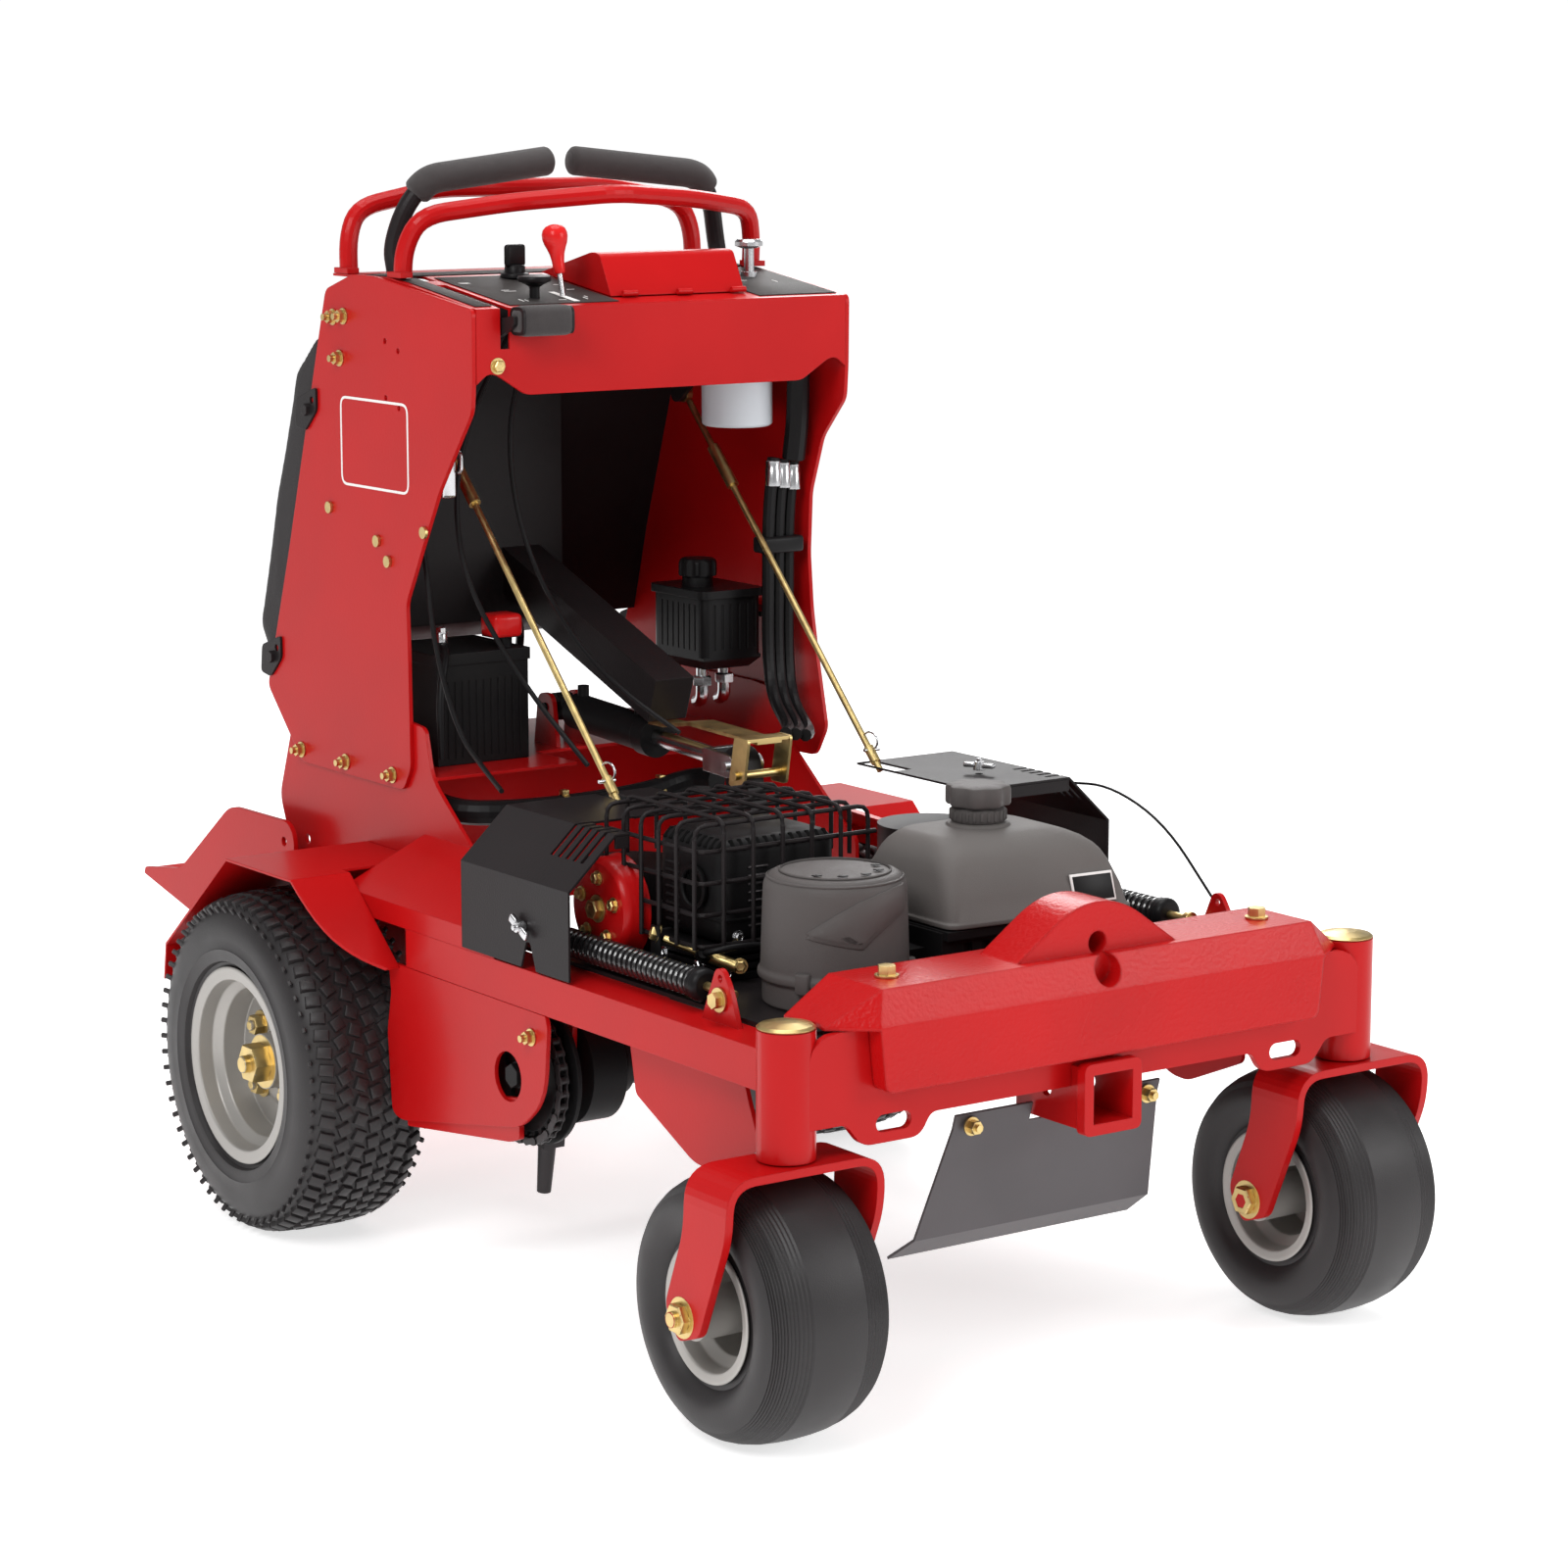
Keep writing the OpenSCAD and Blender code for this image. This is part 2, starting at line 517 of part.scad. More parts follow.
// ---- Drive wheels ----
drive_rim_r = 118;
disc_x = 14;
motor_d = 100;
module drive_wheel_at(side) from_axle() translate([side * drive_x, 0, axle_z]) scale([side, 1, 1]) children();
module drive_tyre() turned_x(tyre_half(drive_tyre_d / 2, drive_tyre_w, drive_rim_r - 13, 12), 0, 0, 0);
module drive_rim() difference() {
    turned_x(rim_shape(drive_rim_r, drive_tyre_w / 2 - 12.5, drive_rim_r - 13.5, disc_x, 34), 0, 0, 0);
    for (a = [45:90:315]) rotate([a, 0, 0]) rod_x(14, disc_x - 5, disc_x + 10, 0, 51);
}
module drive_hub() {
    // Shaft from the motor, hub flange against the disc, castle nut
    rod_x(38, upright_x - drive_x + 8, disc_x - 1.3, 0, 0);
    rod_x(66, disc_x - 9, disc_x + 26, 0, 0);
    rod_x(130, disc_x - 9, disc_x - 1.3, 0, 0);
    hex_x(36, disc_x + 26, disc_x + 46, 0, 0);
    rod_x(20, disc_x + 46, disc_x + 54, 0, 0);
    for (a = [45:90:315]) rotate([a, 0, 0]) {
        rod_x(12, disc_x - 9, disc_x + 24, 0, 51);
        hex_x(19, disc_x + 8.3, disc_x + 20, 0, 51);
    }
}
module drive_tyre_right() placed(black) drive_wheel_at(-1) drive_tyre();
module drive_tyre_left() placed(black) drive_wheel_at(1) drive_tyre();
module drive_rim_right() placed(rim_grey) drive_wheel_at(-1) drive_rim();
module drive_rim_left() placed(rim_grey) drive_wheel_at(1) drive_rim();
module drive_hub_right() placed(rim_grey) drive_wheel_at(-1) drive_hub();
module drive_hub_left() placed(rim_grey) drive_wheel_at(1) drive_hub();
module drive_motors() placed(black) from_axle() both_sides() difference() {
    union() {
        rod_x(motor_d, upright_x - 140, upright_x - plate_t - 0.2, 0, axle_z);
        rod_x(60, upright_x - plate_t - 1, upright_x + 5, 0, axle_z);
        block(upright_x - 30, upright_x - plate_t - 0.2, -56, 56, axle_z - 56, axle_z + 56);
    }
    rod_x(38 + 2 * fit, upright_x - 60, upright_x + 6, 0, axle_z);
}

// ---- Control tower ----
console_y0 = -232;
console_slope = 0.14;
function console_z(y) = tower_h + (min(y, -39) - console_y0) * console_slope;
tower_out = [[106, tower_h + 8], [41, tower_h + 28], [-9, tower_h + 28], [console_y0, tower_h],
    [console_y0 + 1, tower_h - 85], [-228, tower_h - 116], [-154, tower_h - 211], [-113, 813], [-74, 745],
    [-76, 694], [-78, 549], [-60, 521], [188, 521], [272, 606], [210, 782], [126, tower_h - 52]];
far_out = [[106, tower_h + 8], [41, tower_h + 28], [-9, tower_h + 28], [console_y0, tower_h],
    [console_y0 + 1, tower_h - 85], [-228, tower_h - 124], [-183, tower_h - 173], [-158, 852], [-154, 776],
    [-160, 711], [-170, 659], [-192, 565], [-170, 528], [188, 521], [272, 606], [210, 782],
            [126, tower_h - 52]];
tower_holes = [[-34, -46], [-64, -56], [-34, -112], [-64, -122]];
module tower_side(outline) difference() {
    side_sheet(soft(outline, 9), upright_x, plate_t);
    for (p = tower_holes) rod_x(7, upright_x - 1, tower_x + 1, p[0], tower_h + p[1]);
    for (y = [188, 77, -36]) rod_x(10.4, upright_x - 1, tower_x + 1, y, 536);
}
module tower_sides() placed(red) from_axle() {
    mirror([1, 0, 0]) tower_side(tower_out);
    tower_side(far_out);
}
sheet_t = 3;
slot_x = 219;
lever_x = 229;
module tower_front() placed(red) from_axle() {
    in_x = upright_x - 0.3;
    // Front panel with its arched lower edge
    difference() {
        cross_sheet(soft([[-in_x, tower_h - 85], [-in_x + 18, tower_h - 70], [-192, tower_h - 99],
            [192, tower_h - 99], [in_x - 18, tower_h - 70], [in_x, tower_h - 85], [in_x, tower_h],
            [-in_x, tower_h]], [0, 16, 8, 8, 16, 0, 0, 0]), console_y0, sheet_t);
        block(-slot_x - 6, -slot_x + 6, console_y0 - 1, console_y0 + sheet_t + 1, tower_h - 46, tower_h + 1);
    }
    // Sloping console and flat rear deck
    difference() {
        side_sheet(strip([[console_y0, tower_h], [-39, console_z(-39)], [96, console_z(-39)]], -sheet_t),
            -in_x, 2 * in_x);
        block(-slot_x - 6, -slot_x + 6, console_y0 - 1, -90, tower_h - 20, tower_h + 50);
        both_sides() block(lever_x - 18, lever_x + 18, -66, 66, tower_h, tower_h + 40);
        rod_z(12.4, -152, -188, tower_h - 20, tower_h + 40);
        rod_z(22.4, -106, -70, tower_h - 20, tower_h + 40);
        rod_z(20.4, 204, -105, tower_h - 20, tower_h + 40);
        block(-119, -105, -215, -150, tower_h - 20, tower_h + 40);
    }
}
module rear_panel() placed(black) from_axle() {
    in_x = upright_x - 0.4;
    side_sheet(strip([[100, tower_h + 6], [118, tower_h - 50], [206, 782], [238, 668]],
            -sheet_t), -in_x, 2 * in_x);
    // Inner shield behind the battery
    difference() {
        block(-in_x, 60, 96, 99, 690, tower_h - 40);
        translate([60, 90, tower_h - 40]) rotate([0, 45, 0]) cube([90, 30, 90], center = true);
    }
    // Square tube that carries the service latch, forward from the shield
    tube_rise = tan(20);
    side_sheet([[-228, 603], [-246, 654], [97, 654 + 343 * tube_rise], [97, 603 + 325 * tube_rise]], -27, 54);
}

module hand_bars() placed(red) from_axle() {
    x = upright_x - bar_d / 2 - 1;
    front = [[-x, -48, tower_h + 18], [-x, -52, tower_h + 62], [-229, -66, tower_h + 99],
            [-127, -98, tower_h + 113],
        [0, -128, tower_h + 122], [127, -98, tower_h + 113], [229, -66, tower_h + 99], [x, -52, tower_h + 62],
        [x, -48, tower_h + 18]];
    rear = [[-x, 78, tower_h + 18], [-x, 80, tower_h + 70], [-228, 84, tower_h + 104],
            [-120, 88, tower_h + 124],
        [120, 88, tower_h + 124], [228, 84, tower_h + 104], [x, 80, tower_h + 70], [x, 78, tower_h + 18]];
    for (p = [front, rear]) difference() {
        union() {
            swept(route(p, 30, 5), bar_d / 2, 14, [0, 1, 0.2]);
            both_sides() block(x - 4.4, x + bar_d / 2 + 0.4, p[0][1] - 16, p[0][1] + 16, tower_h + 18,
                    tower_h + 34);
        }
        block(-400, 400, -120, 200, tower_h - 40, console_z(0) + 0.4);
    }
}

module thigh_pad() placed(black) from_axle() {
    front = [[136, tower_h - 56], [146, tower_h - 90], [219, 786], [262, 650]];
    back = [[300, 626], [334, 672], [281, 848], [222, tower_h - 100], [160, tower_h - 40]];
    side_sheet(soft(concat(front, back), [8, 4, 4, 12, 14, 20, 20, 20, 14]), -upright_x, 2 * upright_x);
}
// Flat bracket on the tower plate, reaching back to a stud in the pad's side
module pad_bracket(y, z) {
    difference() {
        side_sheet(soft([[y - 22, z + 24], [y + 26, z + 8], [y + 30, z - 26], [y + 6, z - 30],
                [y - 22, z - 4]], 6),
            tower_x + 0.3, 3);
        rod_x(9, tower_x, tower_x + 4, y - 12, z + 8);
    }
    rod_x(14, upright_x + 0.2, tower_x + 0.4, y + 20, z - 10);
    hex_x(13, tower_x + 3.3, tower_x + 9, y - 2, z - 4);
}
module pad_brackets() placed(black) from_axle() both_sides() {
    pad_bracket(152, tower_h - 134);
    pad_bracket(254, 648);
}

// ---- Drive levers and their rods ----
lever_pivot = [-43, tower_h - 91];
lever_arm = 60;
rod_low = [-405, 549];
rod_x0 = 183;
rod_d = 8;
rod_dir = unit(lever_pivot - rod_low);
// The arm stands square to the rod, and its end lies on the rod's line
arm_end = lever_pivot + lever_arm * [rod_dir[1], -rod_dir[0]];
function lever_route() = route([[-lever_x, lever_pivot[0], lever_pivot[1]], [-lever_x, -4, tower_h + 34],
    [-lever_x, 4, tower_h + 60], [-216, -6, tower_h + 108], [-190, -16, tower_h + 139],
            [-14, -1, tower_h + 158]], 26, 6);
grip_route = route([[-207, -10, tower_h + 119], [-190, -16, tower_h + 139], [-12, -1, tower_h + 158]], 26, 6);
module lever() difference() {
    union() {
        swept(lever_route(), lever_d / 2, 14, [0, 1, 0.2]);
        rod_x(34, -lever_x - 11, -rod_x0 + 20, lever_pivot[0], lever_pivot[1]);
        // Bell-crank arm to the rod
        hull() {
            rod_x(26, -rod_x0 + 8, -rod_x0 + 14, lever_pivot[0], lever_pivot[1]);
            rod_x(22, -rod_x0 + 8, -rod_x0 + 14, arm_end[0], arm_end[1]);
        }
        rod_x(8, -rod_x0 - 6, -rod_x0 + 9, arm_end[0], arm_end[1]);
    }
    rod_x(16 + 2 * fit, -lever_x - 30, 0, lever_pivot[0], lever_pivot[1]);
}
module grip() difference() {
    swept(grip_route, grip_d / 2, 16, [0, 1, 0.2]);
    swept(lever_route(), lever_d / 2 + 0.4, 14, [0, 1, 0.2]);
}
module control_rod() {
    low = [-rod_x0, rod_low[0], rod_low[1]];
    // The straight rod stops short of the arm's pin, and an eye takes the pin
    top = [-rod_x0, arm_end[0], arm_end[1]];
    dir = unit(top - low);
    bar(low, top - 14 * dir, rod_d);
    difference() {
        rod_x(24, -rod_x0 - 4, -rod_x0 + 4, arm_end[0], arm_end[1]);
        rod_x(13, -rod_x0 - 5, -rod_x0 + 5, arm_end[0], arm_end[1]);
    }
    bar(top - 150 * dir, top - 88 * dir, 15);
    bar(low + 12 * dir, low + 34 * dir, 12);
}
module drive_lever_right() placed(black) from_axle() lever();
module drive_lever_left() placed(black) from_axle() mirror([1, 0, 0]) lever();
module lever_grip_right() placed(dark_grey) from_axle() grip();
module lever_grip_left() placed(dark_grey) from_axle() mirror([1, 0, 0]) grip();
module control_rod_right() placed(zinc) from_axle() control_rod();
module control_rod_left() placed(zinc) from_axle() mirror([1, 0, 0]) control_rod();

// ---- Console controls ----
throttle_pivot = [-190, tower_h - 14];
module throttle_lever() placed(red) from_axle() {
    foot = [-112, throttle_pivot[0], throttle_pivot[1]];
    knob = [-112, -169, tower_h + 74];
    rod_x(16, -116, -108, throttle_pivot[0], throttle_pivot[1]);
    bar(foot, knob, 6);
    translate(knob) sphere(d = 30, $fn = 48);
    bar(knob - 34 * unit(knob - foot), knob - 8 * unit(knob - foot), 13);
}
module choke_knob() placed(black) from_axle() {
    z = console_z(-188);
    rod_z(12, -152, -188, z - 40, z + 16);
    translate([-152, -188, z + 14]) rotate_extrude($fn = 48)
        polygon([[0, 0], [7, 0], [11, 3], [19, 6], [20, 9], [19, 12], [6, 14], [0, 14]]);
}
module ignition_key() placed(black) from_axle() {
    z = console_z(-70);
    rod_z(22, -106, -70, z - 34, z + 3);
    rod_z(34, -106, -70, z + 3.5, z + 9);
    difference() {
        hull() {
            block(-122, -90, -74, -66, z + 9, z + 12);
            block(-124, -88, -73, -67, z + 30, z + 40);
        }
        block(-112, -100, -80, -60, z + 30, z + 35);
    }
}
head_pivot = [-130, tower_h - 34];
module head_lever() placed(black) from_axle() {
    // Flat lever in the slot, with a block of foam on its end
    side_sheet(soft([[head_pivot[0] + 12, tower_h - 46], [head_pivot[0] + 12, tower_h - 22],
        [console_y0 + 24, tower_h - 14], [console_y0 - 24, tower_h - 7], [console_y0 - 24, tower_h - 19],
        [console_y0 + 20, tower_h - 38]], [11, 11, 20, 5, 5, 20]), -slot_x - 3, 6);
    block(-slot_x + 3, -148, console_y0 - 24, console_y0 - 12, tower_h - 19, tower_h - 7);
    difference() {
        side_sheet(soft([[console_y0 - 34, tower_h - 30], [console_y0 - 5, tower_h - 30],
            [console_y0 - 5, tower_h + 2], [console_y0 - 34, tower_h + 2]], 10), -slot_x + 4, 68);
        block(-slot_x, -140, console_y0 - 24.5, console_y0 - 11.5, tower_h - 19.5, tower_h - 6.5);
    }
    rod_x(12, -slot_x - 30, -slot_x + 30, head_pivot[0], head_pivot[1]);
}
lid_hinge = [-201, tower_h + 8];
module console_lid() placed(red) from_axle() {
    // Thin folded hood, hinged along its front foot
    front = lid_hinge[0] + 4;
    shape = [[front, console_z(front) + 1.5], [front + 24, tower_h + 54], [front + 40, tower_h + 56],
        [-44, console_z(-44) + 2]];
    difference() {
        side_sheet(soft(shape, [0, 6, 6, 0]), -54, 188);
        side_sheet([[front + 3, console_z(front) - 4], [front + 25, tower_h + 51],
                [front + 38, tower_h + 52.6],
            [-50, console_z(-50) - 4]], -51, 182);
    }
    for (x = [-40, 36, 112]) rod_x(7, x, x + 20, lid_hinge[0], console_z(lid_hinge[0]) + 5);
}
module depth_knob() placed(steel) from_axle() {
    z = console_z(-105);
    rod_z(20, 204, -105, z - 30, z + 6);
    rod_z(12, 204, -105, z + 6, z + 34);
    translate([204, -105, z + 34]) rotate_extrude($fn = 48)
        polygon([[0, 0], [9, 0], [17, 3], [17, 8], [14, 11], [0, 12]]);
}

// ---- Engine ----
deck_top = rail_top + 5;
module engine_block() placed(black) {
    // Crankcase, cylinder with cooling fins, and the fan housing under the tank
    difference() {
        block(-88, 150, 120, 282, deck_top + 0.2, 470);
        for (x = [-60:24:120]) block(x, x + 12, 116, 124, 420, 456);
    }
    block(-88, 150, 281, 330, deck_top + 0.2, 438);
    block(-86, 160, 112, 284, 462, 472);
    difference() {
        block(-250, -87, 300, 430, deck_top + 0.2, 440);
        for (z = [412:9:430]) {
            block(-260, -150, 290, 312, z, z + 4);
            block(-260, -238, 290, 440, z, z + 4);
        }
    }
    block(-108, -87, 150, 190, deck_top + 0.2, 450);
}
module muffler() placed(black) {
    difference() {
        block(-240, -92, 300, 428, 441, 556);
        // Rows of vents along the shoulders and louvres in the faces
        for (x = [-220:16:-112]) block(x, x + 8, 290, 322, 541, 549);
        for (z = [462:14:518]) block(-206, -182, 290, 306, z, z + 6);
        for (y = [318:14:402]) block(-245, -222, y, y + 7, 541, 549);
        rod_x(52, -244, -228, 350, 500);
    }
    difference() {
        rod_x(44, -246, -226, 350, 500);
        rod_x(36, -247, -200, 350, 500);
    }
}
cage_r = 2.6;
module cage_wire(p, r = 14) swept(route(p, r, 3), cage_r, 8, [0.11, 0.37, 1]);
module muffler_guard() placed(black) {
    // Hoops over the top, joined by level rings
    for (y = [292, 326, 360, 394, 428, 462])
        cage_wire([[-284, y, 446], [-284, y, 578], [-58, y, 578], [-58, y, 520]]);
    for (x = [-252, -214, -176, -138, -100])
        cage_wire([[x, 284, 446], [x, 284, 578 + 2 * cage_r], [x, 470, 578 + 2 * cage_r], [x, 470, 520]]);
    for (z = [448, 482, 516, 550])
        cage_wire([[z > 510 ? -50 : -96, 284 + cage_r * 1.9, z], [-284 + cage_r * 1.9, 284 + cage_r * 1.9, z],
            [-284 + cage_r * 1.9, 468, z]]);
}
module air_cleaner() placed(dark_grey) {
    translate([-190, 170, deck_top + 0.3]) rotate_extrude($fn = 96) polygon(soft([[0, 0], [76, 0],
            [76, 24], [81, 28],
        [81, 34], [78, 38], [75, 128], [66, 137], [0, 140]], [0, 3, 2, 2, 2, 2, 9, 5, 0], 4));
}
tank_z = 473;
module fuel_tank() placed(dark_grey) {
    // Moulded tank with sloping shoulders
    difference() {
        union() {
            hull() {
                linear_extrude(1) translate([0, 0]) polygon(soft([[-82, 112], [152, 96], [156, 285],
                        [-82, 285]], 18));
                translate([0, 0, tank_z]) linear_extrude(2)
                    polygon(soft([[-82, 112], [152, 96], [156, 285], [-82, 285]], 18));
                translate([0, 0, tank_z + 60]) linear_extrude(1)
                    polygon(soft([[-74, 130], [142, 120], [146, 274], [-74, 274]], 26));
                translate([0, 0, tank_z + 86]) linear_extrude(1)
                    polygon(soft([[-52, 162], [98, 154], [100, 258], [-52, 258]], 26));
            }
            rod_z(66, 30, 212, tank_z + 80, tank_z + 92);
            rod_z(46, 30, 212, tank_z + 86, tank_z + 106);
        }
        block(-200, 200, 0, 400, -1, tank_z);
        rod_z(32, 30, 212, tank_z + 60, tank_z + 110);
    }
}
module knurled_cap(x, y, z, r, h, lobes) translate([x, y, z]) difference() {
    rotate_extrude($fn = 72) polygon(soft([[0, h - 9], [r - 8, h - 9], [r - 8, 0], [r, 0], [r, h - 4],
            [r - 5, h],
        [0, h]], [0, 0, 0, 3, 4, 3, 0], 3));
    for (i = [0:lobes - 1]) rotate([0, 0, i * 360 / lobes]) translate([r + 5, 0, -1])
            cylinder(r = 8, h = h + 2, $fn = 32);
}
module fuel_cap() placed(dark_grey) {
    knurled_cap(30, 212, tank_z + 92.4, 37, 40, 8);
    rod_z(31.6, 30, 212, tank_z + 80, tank_z + 126);
}

// ---- Covers over the pump drives ----
cover_t = 2.5;
out_of_guard = 294;
module cover(inner) {
    out = rail_out + 1 + cover_t;
    difference() {
        union() {
            cross_sheet(strip([[out, 402], [out, 500], [out - 60, 556], [inner, 556]], cover_t), -598, 222);
            side_sheet([[-598, 540], [-594, 540], [-594, 553], [-598, 553]], inner + 1, out - 62 - inner);
        }
        // Notch over the side plate's bolt and five slots in the slope
        side_sheet(soft([[-536, 390], [-520, 432], [-512, 432], [-496, 390]], 3), out - 10, 12);
        for (i = [0:4]) translate([out - 52, -584 + i * 15, 500]) rotate([0, -47, 0])
            cube([62, 6, 60], center = false);
        rod_x(9, out - 10, out + 1, -508, 448);
        block(rod_x0 - 12, rod_x0 + 12, -450, -377, 540, 570);
        rod_z(9, 240, -520, 540, 570);
    }
}
module belt_covers() placed(black) from_axle() {
    difference() {
        mirror([1, 0, 0]) cover(120);
        // Room for the muffler and its guard
        block(-out_of_guard, 0, -600, -520, 530, 570);
    }
    cover(170);
}

// ---- Electrics and hydraulics ----
battery_x = -152;
module battery() placed(black) from_axle() {
    difference() {
        block(battery_x - 63, battery_x + 63, -62, 66, deck_z + 0.3, deck_z + 128);
        for (x = [-50:10:50]) block(battery_x + x, battery_x + x + 2, -64, -61, deck_z + 8, deck_z + 100);
    }
    block(battery_x - 65, battery_x + 65, -64, 68, deck_z + 120, deck_z + 134);
    for (x = [-44, 44]) rod_z(18, battery_x + x, -40, deck_z + 133, deck_z + 146);
    block(battery_x + 22, battery_x + 58, -56, -24, deck_z + 146.2, deck_z + 170);
}
hyd_x = 170;
module hydraulic_tank() placed(black) from_axle() {
    z = 636;
    difference() {
        union() {
            translate([0, 0, z + 14]) linear_extrude(84) polygon(soft([[hyd_x - 42, -118], [hyd_x + 44, -118],
                [hyd_x + 44, -4], [hyd_x - 42, -4]], 12));
            hull() {
                translate([hyd_x - 32, -106, z]) cube([64, 90, 4]);
                translate([hyd_x - 42, -118, z + 12]) cube([84, 112, 4]);
            }
            translate([0, 0, z + 88]) linear_extrude(10) polygon(soft([[hyd_x - 46, -122], [hyd_x + 48, -122],
                [hyd_x + 48, 0], [hyd_x - 46, 0]], 12));
            rod_z(38, hyd_x - 12, -60, z + 97, z + 110);
        }
        for (y = [-100:12:-20]) block(hyd_x - 44, hyd_x - 41, y, y + 3, z + 24, z + 80);
        for (x = [-28:12:32]) block(hyd_x + x, hyd_x + x + 3, -120, -117, z + 24, z + 80);
        rod_z(26, hyd_x - 12, -60, z + 60, z + 112);
    }
    // Bracket to the tower plate
    block(hyd_x + 48.2, upright_x - 0.3, -110, -20, z + 60, z + 66);
}
module tank_cap() placed(black) from_axle() {
    knurled_cap(hyd_x - 12, -60, 746.4, 24, 22, 10);
    rod_z(25.4, hyd_x - 12, -60, 734, 760);
}
module oil_filter() placed(steel) from_axle() {
    translate([180, -114, 933]) rotate_extrude($fn = 72)
        polygon(soft([[0, 4], [36, 4], [38, 0], [43, 3], [43, 84], [38, 90], [0, 90]],
                [0, 2, 1, 2, 2, 4, 0], 3));
    rod_z(70, 180, -114, 1023.2, 1050);
    block(150, upright_x - 0.3, -144, -84, 1050, 1058);
}

// ---- Tine head ----
lift_low = [0, -385, 571];
lift_top = [0, 5, 590];
rotor_y = -256;
rotor_z = 222;
head_x = 226;
tine_count = 6;
sprocket_x = 344;
drive_sprocket_r = 70;
rotor_sprocket_r = 36;
chain_h = 10;
tine_r = 165;
rotor_d = 60;
float_slot = 4;
arm_dir = unit([lift_low[1] - drive_y, lift_low[2] - drive_z]);
module head_arm() difference() {
    hull() {
        rod_x(78, head_x, head_x + 10, drive_y, drive_z);
        rod_x(84, head_x, head_x + 10, rotor_y, rotor_z);
    }
    rod_x(drive_shaft_d + 2 * fit, head_x - 1, head_x + 11, drive_y, drive_z);
    rod_x(30 + 2 * fit, head_x - 1, head_x + 11, rotor_y, rotor_z);
}
module tine_head() placed(black) from_axle() {
    both_sides() head_arm();
    // Tube round the drive shaft, and the lift arm that stands on it
    difference() {
        union() {
            rod_x(60, -head_x - 1, head_x + 1, drive_y, drive_z);
            rod_x(74, -30, 30, drive_y, drive_z);
            hull() {
                rod_x(52, -12, 12, drive_y, drive_z);
                rod_x(42, -12, 12, lift_low[1], lift_low[2]);
            }
        }
        rod_x(drive_shaft_d + 2 * fit, -head_x - 2, head_x + 2, drive_y, drive_z);
        // Float slot for the clevis pin
        for (s = [-float_slot, float_slot]) rod_x(18.4, -14, 14, lift_low[1] + s * arm_dir[0],
                lift_low[2] + s * arm_dir[1]);
        translate([0, lift_low[1], lift_low[2]]) rotate([atan2(arm_dir[1], arm_dir[0]) - 90, 0, 0])
            cube([28, 18.4, 2 * float_slot], center = true);
    }
}
module tine() {
    // Arm, holder and hollow coring tine
    hull() {
        rod_x(rotor_d - 8, -5, 5, 0, 0);
        rod_x(34, -5, 5, 0, tine_r - 74);
    }
    block(-14, 14, -16, 16, tine_r - 90, tine_r - 60);
    difference() {
        translate([0, 0, tine_r - 62]) cylinder(d1 = 22, d2 = 17, h = 62, $fn = 32);
        translate([0, 0, tine_r - 40]) cylinder(d = 11, h = 60, $fn = 32);
    }
}
module tine_rotor() placed(dark_grey) from_axle() {
    rod_x(30, -sprocket_x - 8, head_x + 14, rotor_y, rotor_z);
    sprocket(rotor_sprocket_r, 16, rotor_y, rotor_z);
    rod_x(rotor_d, -head_x + 6, head_x - 6, rotor_y, rotor_z);
    for (i = [0:tine_count - 1])
        translate([(i - (tine_count - 1) / 2) * 72, rotor_y, rotor_z]) rotate([180 + i * 60 + 8, 0, 0])
                tine();
}

module sprocket(r, teeth, y, z) difference() {
    union() {
        rod_x(2 * r - 12, -sprocket_x - 3, -sprocket_x + 3, y, z);
        for (i = [0:teeth - 1]) translate([0, y, z]) rotate([i * 360 / teeth, 0, 0])
            side_sheet([[-5, r - 8], [5, r - 8], [2, r - 0.6], [-2, r - 0.6]], -sprocket_x - 2.5, 5);
    }
    for (a = [0:72:359]) translate([0, y, z]) rotate([a, 0, 0])
            rod_x(r / 4, -sprocket_x - 4, -sprocket_x + 4, 0, r / 2);
}
module tine_drive() placed(black) from_axle() {
    // Shaft with the chain sprocket, a guard disc and the clutch drum
    rod_x(drive_shaft_d, -sprocket_x - 12, hanger_x + 8, drive_y, drive_z);
    hex_x(24, -sprocket_x - 20, -sprocket_x - 12, drive_y, drive_z);
    sprocket(drive_sprocket_r, 26, drive_y, drive_z);
    rod_x(162, -328, -323, drive_y, drive_z);
    rod_x(126, -296, -252, drive_y, drive_z);
    rod_x(60, 246, 290, drive_y, drive_z);
}
module chain_outline(extra) hull() {
    translate([drive_y, drive_z]) circle(r = drive_sprocket_r + extra, $fn = 96);
    translate([rotor_y, rotor_z]) circle(r = rotor_sprocket_r + extra, $fn = 96);
}
module drive_chain() placed(dark_grey) from_axle()
    translate([-sprocket_x - 6, 0, 0]) rotate([90, 0, 90]) linear_extrude(12) difference() {
        chain_outline(chain_h);
        chain_outline(0);
    }

// ---- Hydraulic lift ----
lift_dir = unit(lift_low - lift_top);
module lift_cylinder() placed(black) from_axle() {
    tail = lift_top;
    difference() {
        union() {
            rod_x(34, -11, 11, tail[1], tail[2]);
            bar(tail, tail + 38 * lift_dir, 20);
            bar(tail + 36 * lift_dir, tail + 208 * lift_dir, 44);
            bar(tail + 190 * lift_dir, tail + 214 * lift_dir, 50);
            bar(tail + 50 * lift_dir + [0, 0, 16], tail + 50 * lift_dir + [0, 0, 34], 14);
            bar(tail + 176 * lift_dir + [0, 0, 16], tail + 176 * lift_dir + [0, 0, 34], 14);
        }
        bar(tail + 48 * lift_dir, tail + 220 * lift_dir, 20 + 2 * fit);
    }
    rod_x(12, -26, 26, tail[1], tail[2]);
}
